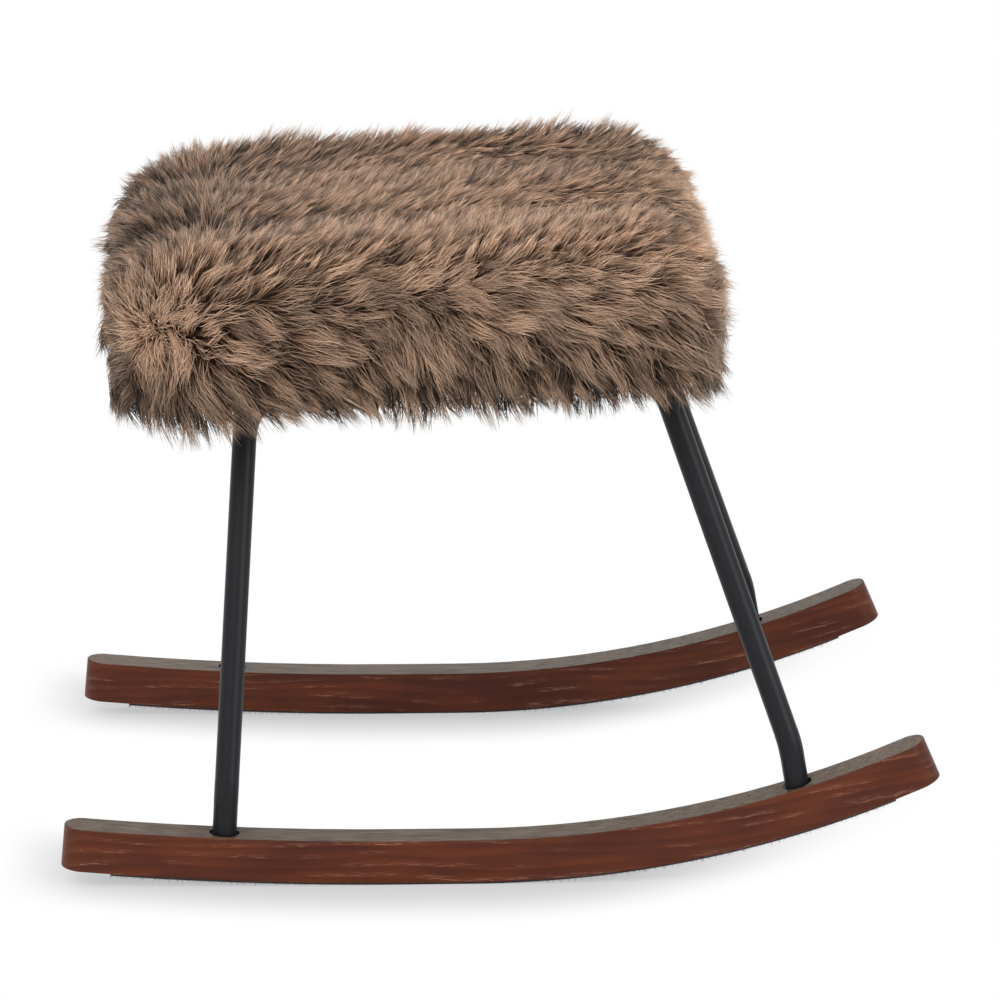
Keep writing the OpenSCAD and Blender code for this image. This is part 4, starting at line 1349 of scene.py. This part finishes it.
class FOOTSTOOL_OT_stage(bpy.types.Operator):
    """Floor, lamps, world and camera"""

    bl_idname = "footstool.stage"
    bl_label = "Stage"

    def execute(self, context):
        scene = context.scene
        scene.view_settings.view_transform = "Standard"
        corners = ((-1, -1), (1, -1), (1, 1), (-1, 1))
        points = [(x * FLOOR_REACH, y * FLOOR_REACH, 0) for x, y in corners]
        floor = new_object("floor", new_mesh("floor", points, [(0, 1, 2, 3)], False))
        floor.data.materials.append(self.paper())
        for name, place, size, power in LAMPS:
            self.lamp(name, place, size, power)
        self.surround(scene)
        lens = bpy.data.cameras.new("camera")
        lens.lens = 196.0
        lens.sensor_width = 36.0
        lens.clip_end = 40.0
        camera = new_object("camera", lens)
        camera.location = (-0.1208, -3.6341, 1.1306)
        camera.rotation_euler = (math.radians(75.763), 0.0, math.radians(-2.006))
        scene.camera = camera
        return {"FINISHED"}

    def lamp(self, name, place, size, power):
        """A round lamp aimed at the stool."""
        light = bpy.data.lights.new(name, "AREA")
        light.shape = "DISK"
        light.size = size
        light.energy = power
        made = new_object(name, light)
        made.location = place
        aim = np.array(LAMP_AIM) - np.array(place)
        made.rotation_euler = (
            math.atan2(math.hypot(aim[0], aim[1]), -aim[2]),
            0.0,
            math.atan2(aim[1], aim[0]) - math.pi / 2,
        )

    def paper(self):
        """White paper floor. What the camera and mirrors see of it is lit evenly, apart from a painted
        shadow beside each rocker, to which the light and shadow on the paper add."""
        material, tree = new_material("paper_floor")
        place = add(tree, "ShaderNodeTexCoord").outputs["Object"]
        place = add(tree, "ShaderNodeSeparateXYZ", {0: place}).outputs
        # The painted shadow falls behind a rocker where the rocker rises, as if under a low light in front
        rise = curved(tree, place["X"], 1, 0.0)
        behind = add(tree, MATH, {0: rise, 1: -SHADE_LAG, 2: place["Y"]}, operation="MULTIPLY_ADD")
        apart = []
        for rocker in (-ROCKER_OUT, ROCKER_OUT):
            off = add(tree, MATH, {0: behind, 1: rocker}, operation="SUBTRACT")
            apart.append(add(tree, MATH, {0: off}, operation="ABSOLUTE"))
        beside = add(tree, MATH, {0: apart[0], 1: apart[1]}, operation="MINIMUM")
        # How strong the painted shadow is at each place
        shade = 1.0
        for follows, start, end, first, last in (
            (beside, 0.014, 0.1, 0.4, 0.0),
            (place["X"], 0.04, 0.33, 1.0, 0.0),
            (place["X"], -0.34, -0.26, 0.0, 1.0),
        ):
            fade = {"Value": follows, "From Min": start, "From Max": end}
            fade = fade | {"To Min": first, "To Max": last}
            fade = add(tree, "ShaderNodeMapRange", fade, interpolation_type="SMOOTHSTEP")
            shade = add(tree, MATH, {0: shade, 1: fade}, operation="MULTIPLY")
        strength = add(tree, MATH, {0: 1.0, 1: shade}, operation="SUBTRACT")
        even = {"Color": linear("#ffffff"), "Strength": strength}
        even = add(tree, "ShaderNodeEmission", even)
        sheet = {"Color": linear("#fbfbfb"), "Roughness": 0.0}
        sheet = add(tree, "ShaderNodeBsdfDiffuse", sheet)
        part = add(tree, MATH, {0: shade, 1: -0.5, 2: 1.0}, operation="MULTIPLY_ADD")
        part = add(tree, MATH, {0: seen_or_mirrored(tree), 1: part}, operation="MULTIPLY")
        both = add(tree, "ShaderNodeMixShader", {0: part, 1: sheet, 2: even})
        add(tree, "ShaderNodeOutputMaterial", {"Surface": both})
        return material

    def surround(self, scene):
        """Soft even light from all round, white where it is seen or mirrored."""
        world = bpy.data.worlds.new("soft_room")
        world.use_nodes = True
        tree = world.node_tree
        tree.nodes.clear()
        way = add(tree, "ShaderNodeTexCoord").outputs["Generated"]
        way = add(tree, "ShaderNodeSeparateXYZ", {0: way}).outputs["Y"]
        level = {"Value": way, "From Min": -0.9, "From Max": 0.9, "To Min": 0.62, "To Max": 0.98}
        level = add(tree, "ShaderNodeMapRange", level)
        soft = {"Color": linear("#f6f7fa"), "Strength": level}
        soft = add(tree, "ShaderNodeBackground", soft)
        white = {"Color": linear("#ffffff"), "Strength": 1.0}
        white = add(tree, "ShaderNodeBackground", white)
        both = {0: seen_or_mirrored(tree), 1: soft, 2: white}
        both = add(tree, "ShaderNodeMixShader", both)
        add(tree, "ShaderNodeOutputWorld", {"Surface": both})
        scene.world = world


class FOOTSTOOL_OT_woodwork(bpy.types.Operator):
    """Stain and grain on the rockers"""

    bl_idname = "footstool.woodwork"
    bl_label = "Rockers"

    def execute(self, context):
        paint_nodes(stained_ash(), "rocker_right", "rocker_left")
        return {"FINISHED"}


class FOOTSTOOL_OT_metalwork(bpy.types.Operator):
    """Powder coat on the tubes and tabs, zinc on the fixings, and the nylon bushes"""

    bl_idname = "footstool.metalwork"
    bl_label = "Tubes and Fixings"

    def execute(self, context):
        paint_nodes(
            powder_coat(),
            "side_frame_right",
            "side_frame_left",
            "cross_tube_rear",
            "cross_tube_front",
            "mounting_tabs",
        )
        paint_nodes(
            zinc_plate(),
            "leg_plugs",
            "rocker_bolts",
            "rocker_washers",
            "seat_screws",
            "seat_washers",
            "t_nuts",
            "staples",
        )
        paint_nodes(moulded_nylon(), "leg_bushes")
        return {"FINISHED"}


class FOOTSTOOL_OT_felt(bpy.types.Operator):
    """Felt strips under the rockers, with the loose fibres of their cut edges"""

    bl_idname = "footstool.felt"
    bl_label = "Felt Strips"

    def execute(self, context):
        tree = fibre_tree()
        settings = {
            "Density": 0.4e6,
            "Length": sizes().felt_fibre,
            "Thickness": 0.16 * MM,
            "Seed": 3,
            "Material": pressed_felt(),
        }
        for side in ("right", "left"):
            node = f"felt_strip_{side}"
            low, high = (np.array(corner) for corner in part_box(node))
            strip = grown(f"felt_{side}", felt_mesh(f"felt_{side}", low, high), tree, settings)
            finish_piece(strip)
            run = rocker_run(high[0]) - rocker_run(low[0])
            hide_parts(node)
        return {"FINISHED"}


class FOOTSTOOL_OT_underside(bpy.types.Operator):
    """Plywood board and the fabric stapled under it"""

    bl_idname = "footstool.underside"
    bl_label = "Board and Fabric"

    def execute(self, context):
        size = sizes()
        paint_nodes(birch_plywood(), "seat_board")
        cloth = thickened("seat_fabric", fabric_mesh("seat_fabric"), size.fabric_thickness, 0.0)
        finish_piece(cloth, spunbond())
        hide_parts("dust_cover")
        return {"FINISHED"}


class FOOTSTOOL_OT_cushion(bpy.types.Operator):
    """Foam pad and the hide of the fur cover"""

    bl_idname = "footstool.cushion"
    bl_label = "Cushion"

    def execute(self, context):
        foam = new_object("foam_block", foam_mesh("foam_block"))
        finish_piece(foam, cut_foam())
        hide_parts("foam_pad")
        hide = thickened("cover_hide", cover_mesh("cover_hide"), sizes().hide_thickness, -1.0)
        finish_piece(hide, tanned_hide())
        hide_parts("fur_cover")
        return {"FINISHED"}


class FOOTSTOOL_OT_pile(bpy.types.Operator):
    """Strands of the fur cover, panel by panel"""

    bl_idname = "footstool.pile"
    bl_label = "Pile"

    def execute(self, context):
        size = sizes()
        skin = cover_mesh("skin")
        soft_skin = skin.copy()
        area = prepare_hide(skin)
        prepare_hide(soft_skin, undercoat=True)
        tree = pile_tree()
        settings = {
            "Density": size.strands / area,
            "Strand Width": size.strand_width,
            "Lock Spacing": size.lock_spacing,
            "Lock Pull": size.lock_pull,
            "Wave": size.wave,
            "Ruffle": size.ruffle,
            "Sweep": 0.74,
            "Droop": 0.08,
            "Seed": 7,
            "Material": long_pile(),
        }
        coats = []
        for index, name in enumerate(PILE_PANELS):
            bends = 2 if name.startswith("pile_top") else 3
            coats.append((name, skin, {"Panel": index, "Segments": bends}))
        short = {
            "Density": 1.6 * size.undercoat / area,
            "Segments": 2,
            "Lock Pull": size.lock_pull / 2,
            "Ruffle": 1.5 * size.ruffle,
            "Seed": 29,
            "Panel": -1,
        }
        coats.append(("undercoat", soft_skin, short))
        for name, mesh, own in coats:
            piece = grown(name, mesh.copy(), tree, settings | own)
            kept = piece.data.attributes
            for spare in sum(FIELDS.values(), ()):
                if spare in kept:
                    kept.remove(kept[spare])
            finish_piece(piece)
        return {"FINISHED"}


class FOOTSTOOL_PT_panel(bpy.types.Panel):
    """Steps that build the footstool"""

    bl_idname = "FOOTSTOOL_PT_panel"
    bl_label = "Rocking Footstool"
    bl_space_type = "VIEW_3D"
    bl_region_type = "UI"
    bl_category = "Footstool"

    def draw(self, context):
        for group in (context.scene.footstool_sizes, context.scene.footstool_colours):
            for name in group.__annotations__:
                self.layout.prop(group, name)
        for step in STEPS:
            self.layout.operator(step.bl_idname)


STEPS = (
    FOOTSTOOL_OT_stage,
    FOOTSTOOL_OT_woodwork,
    FOOTSTOOL_OT_metalwork,
    FOOTSTOOL_OT_felt,
    FOOTSTOOL_OT_underside,
    FOOTSTOOL_OT_cushion,
    FOOTSTOOL_OT_pile,
)
CLASSES = (FootstoolSizes, FootstoolColours, *STEPS, FOOTSTOOL_PT_panel)


def register():
    for made in CLASSES:
        bpy.utils.register_class(made)
    bpy.types.Scene.footstool_sizes = bpy.props.PointerProperty(type=FootstoolSizes)
    bpy.types.Scene.footstool_colours = bpy.props.PointerProperty(type=FootstoolColours)


def unregister():
    del bpy.types.Scene.footstool_sizes
    del bpy.types.Scene.footstool_colours
    for made in reversed(CLASSES):
        bpy.utils.unregister_class(made)


def main():
    register()
    bpy.ops.footstool.stage()
    bpy.ops.footstool.woodwork()
    bpy.ops.footstool.metalwork()
    bpy.ops.footstool.felt()
    bpy.ops.footstool.underside()
    bpy.ops.footstool.cushion()
    bpy.ops.footstool.pile()


if __name__ == "__main__":
    main()
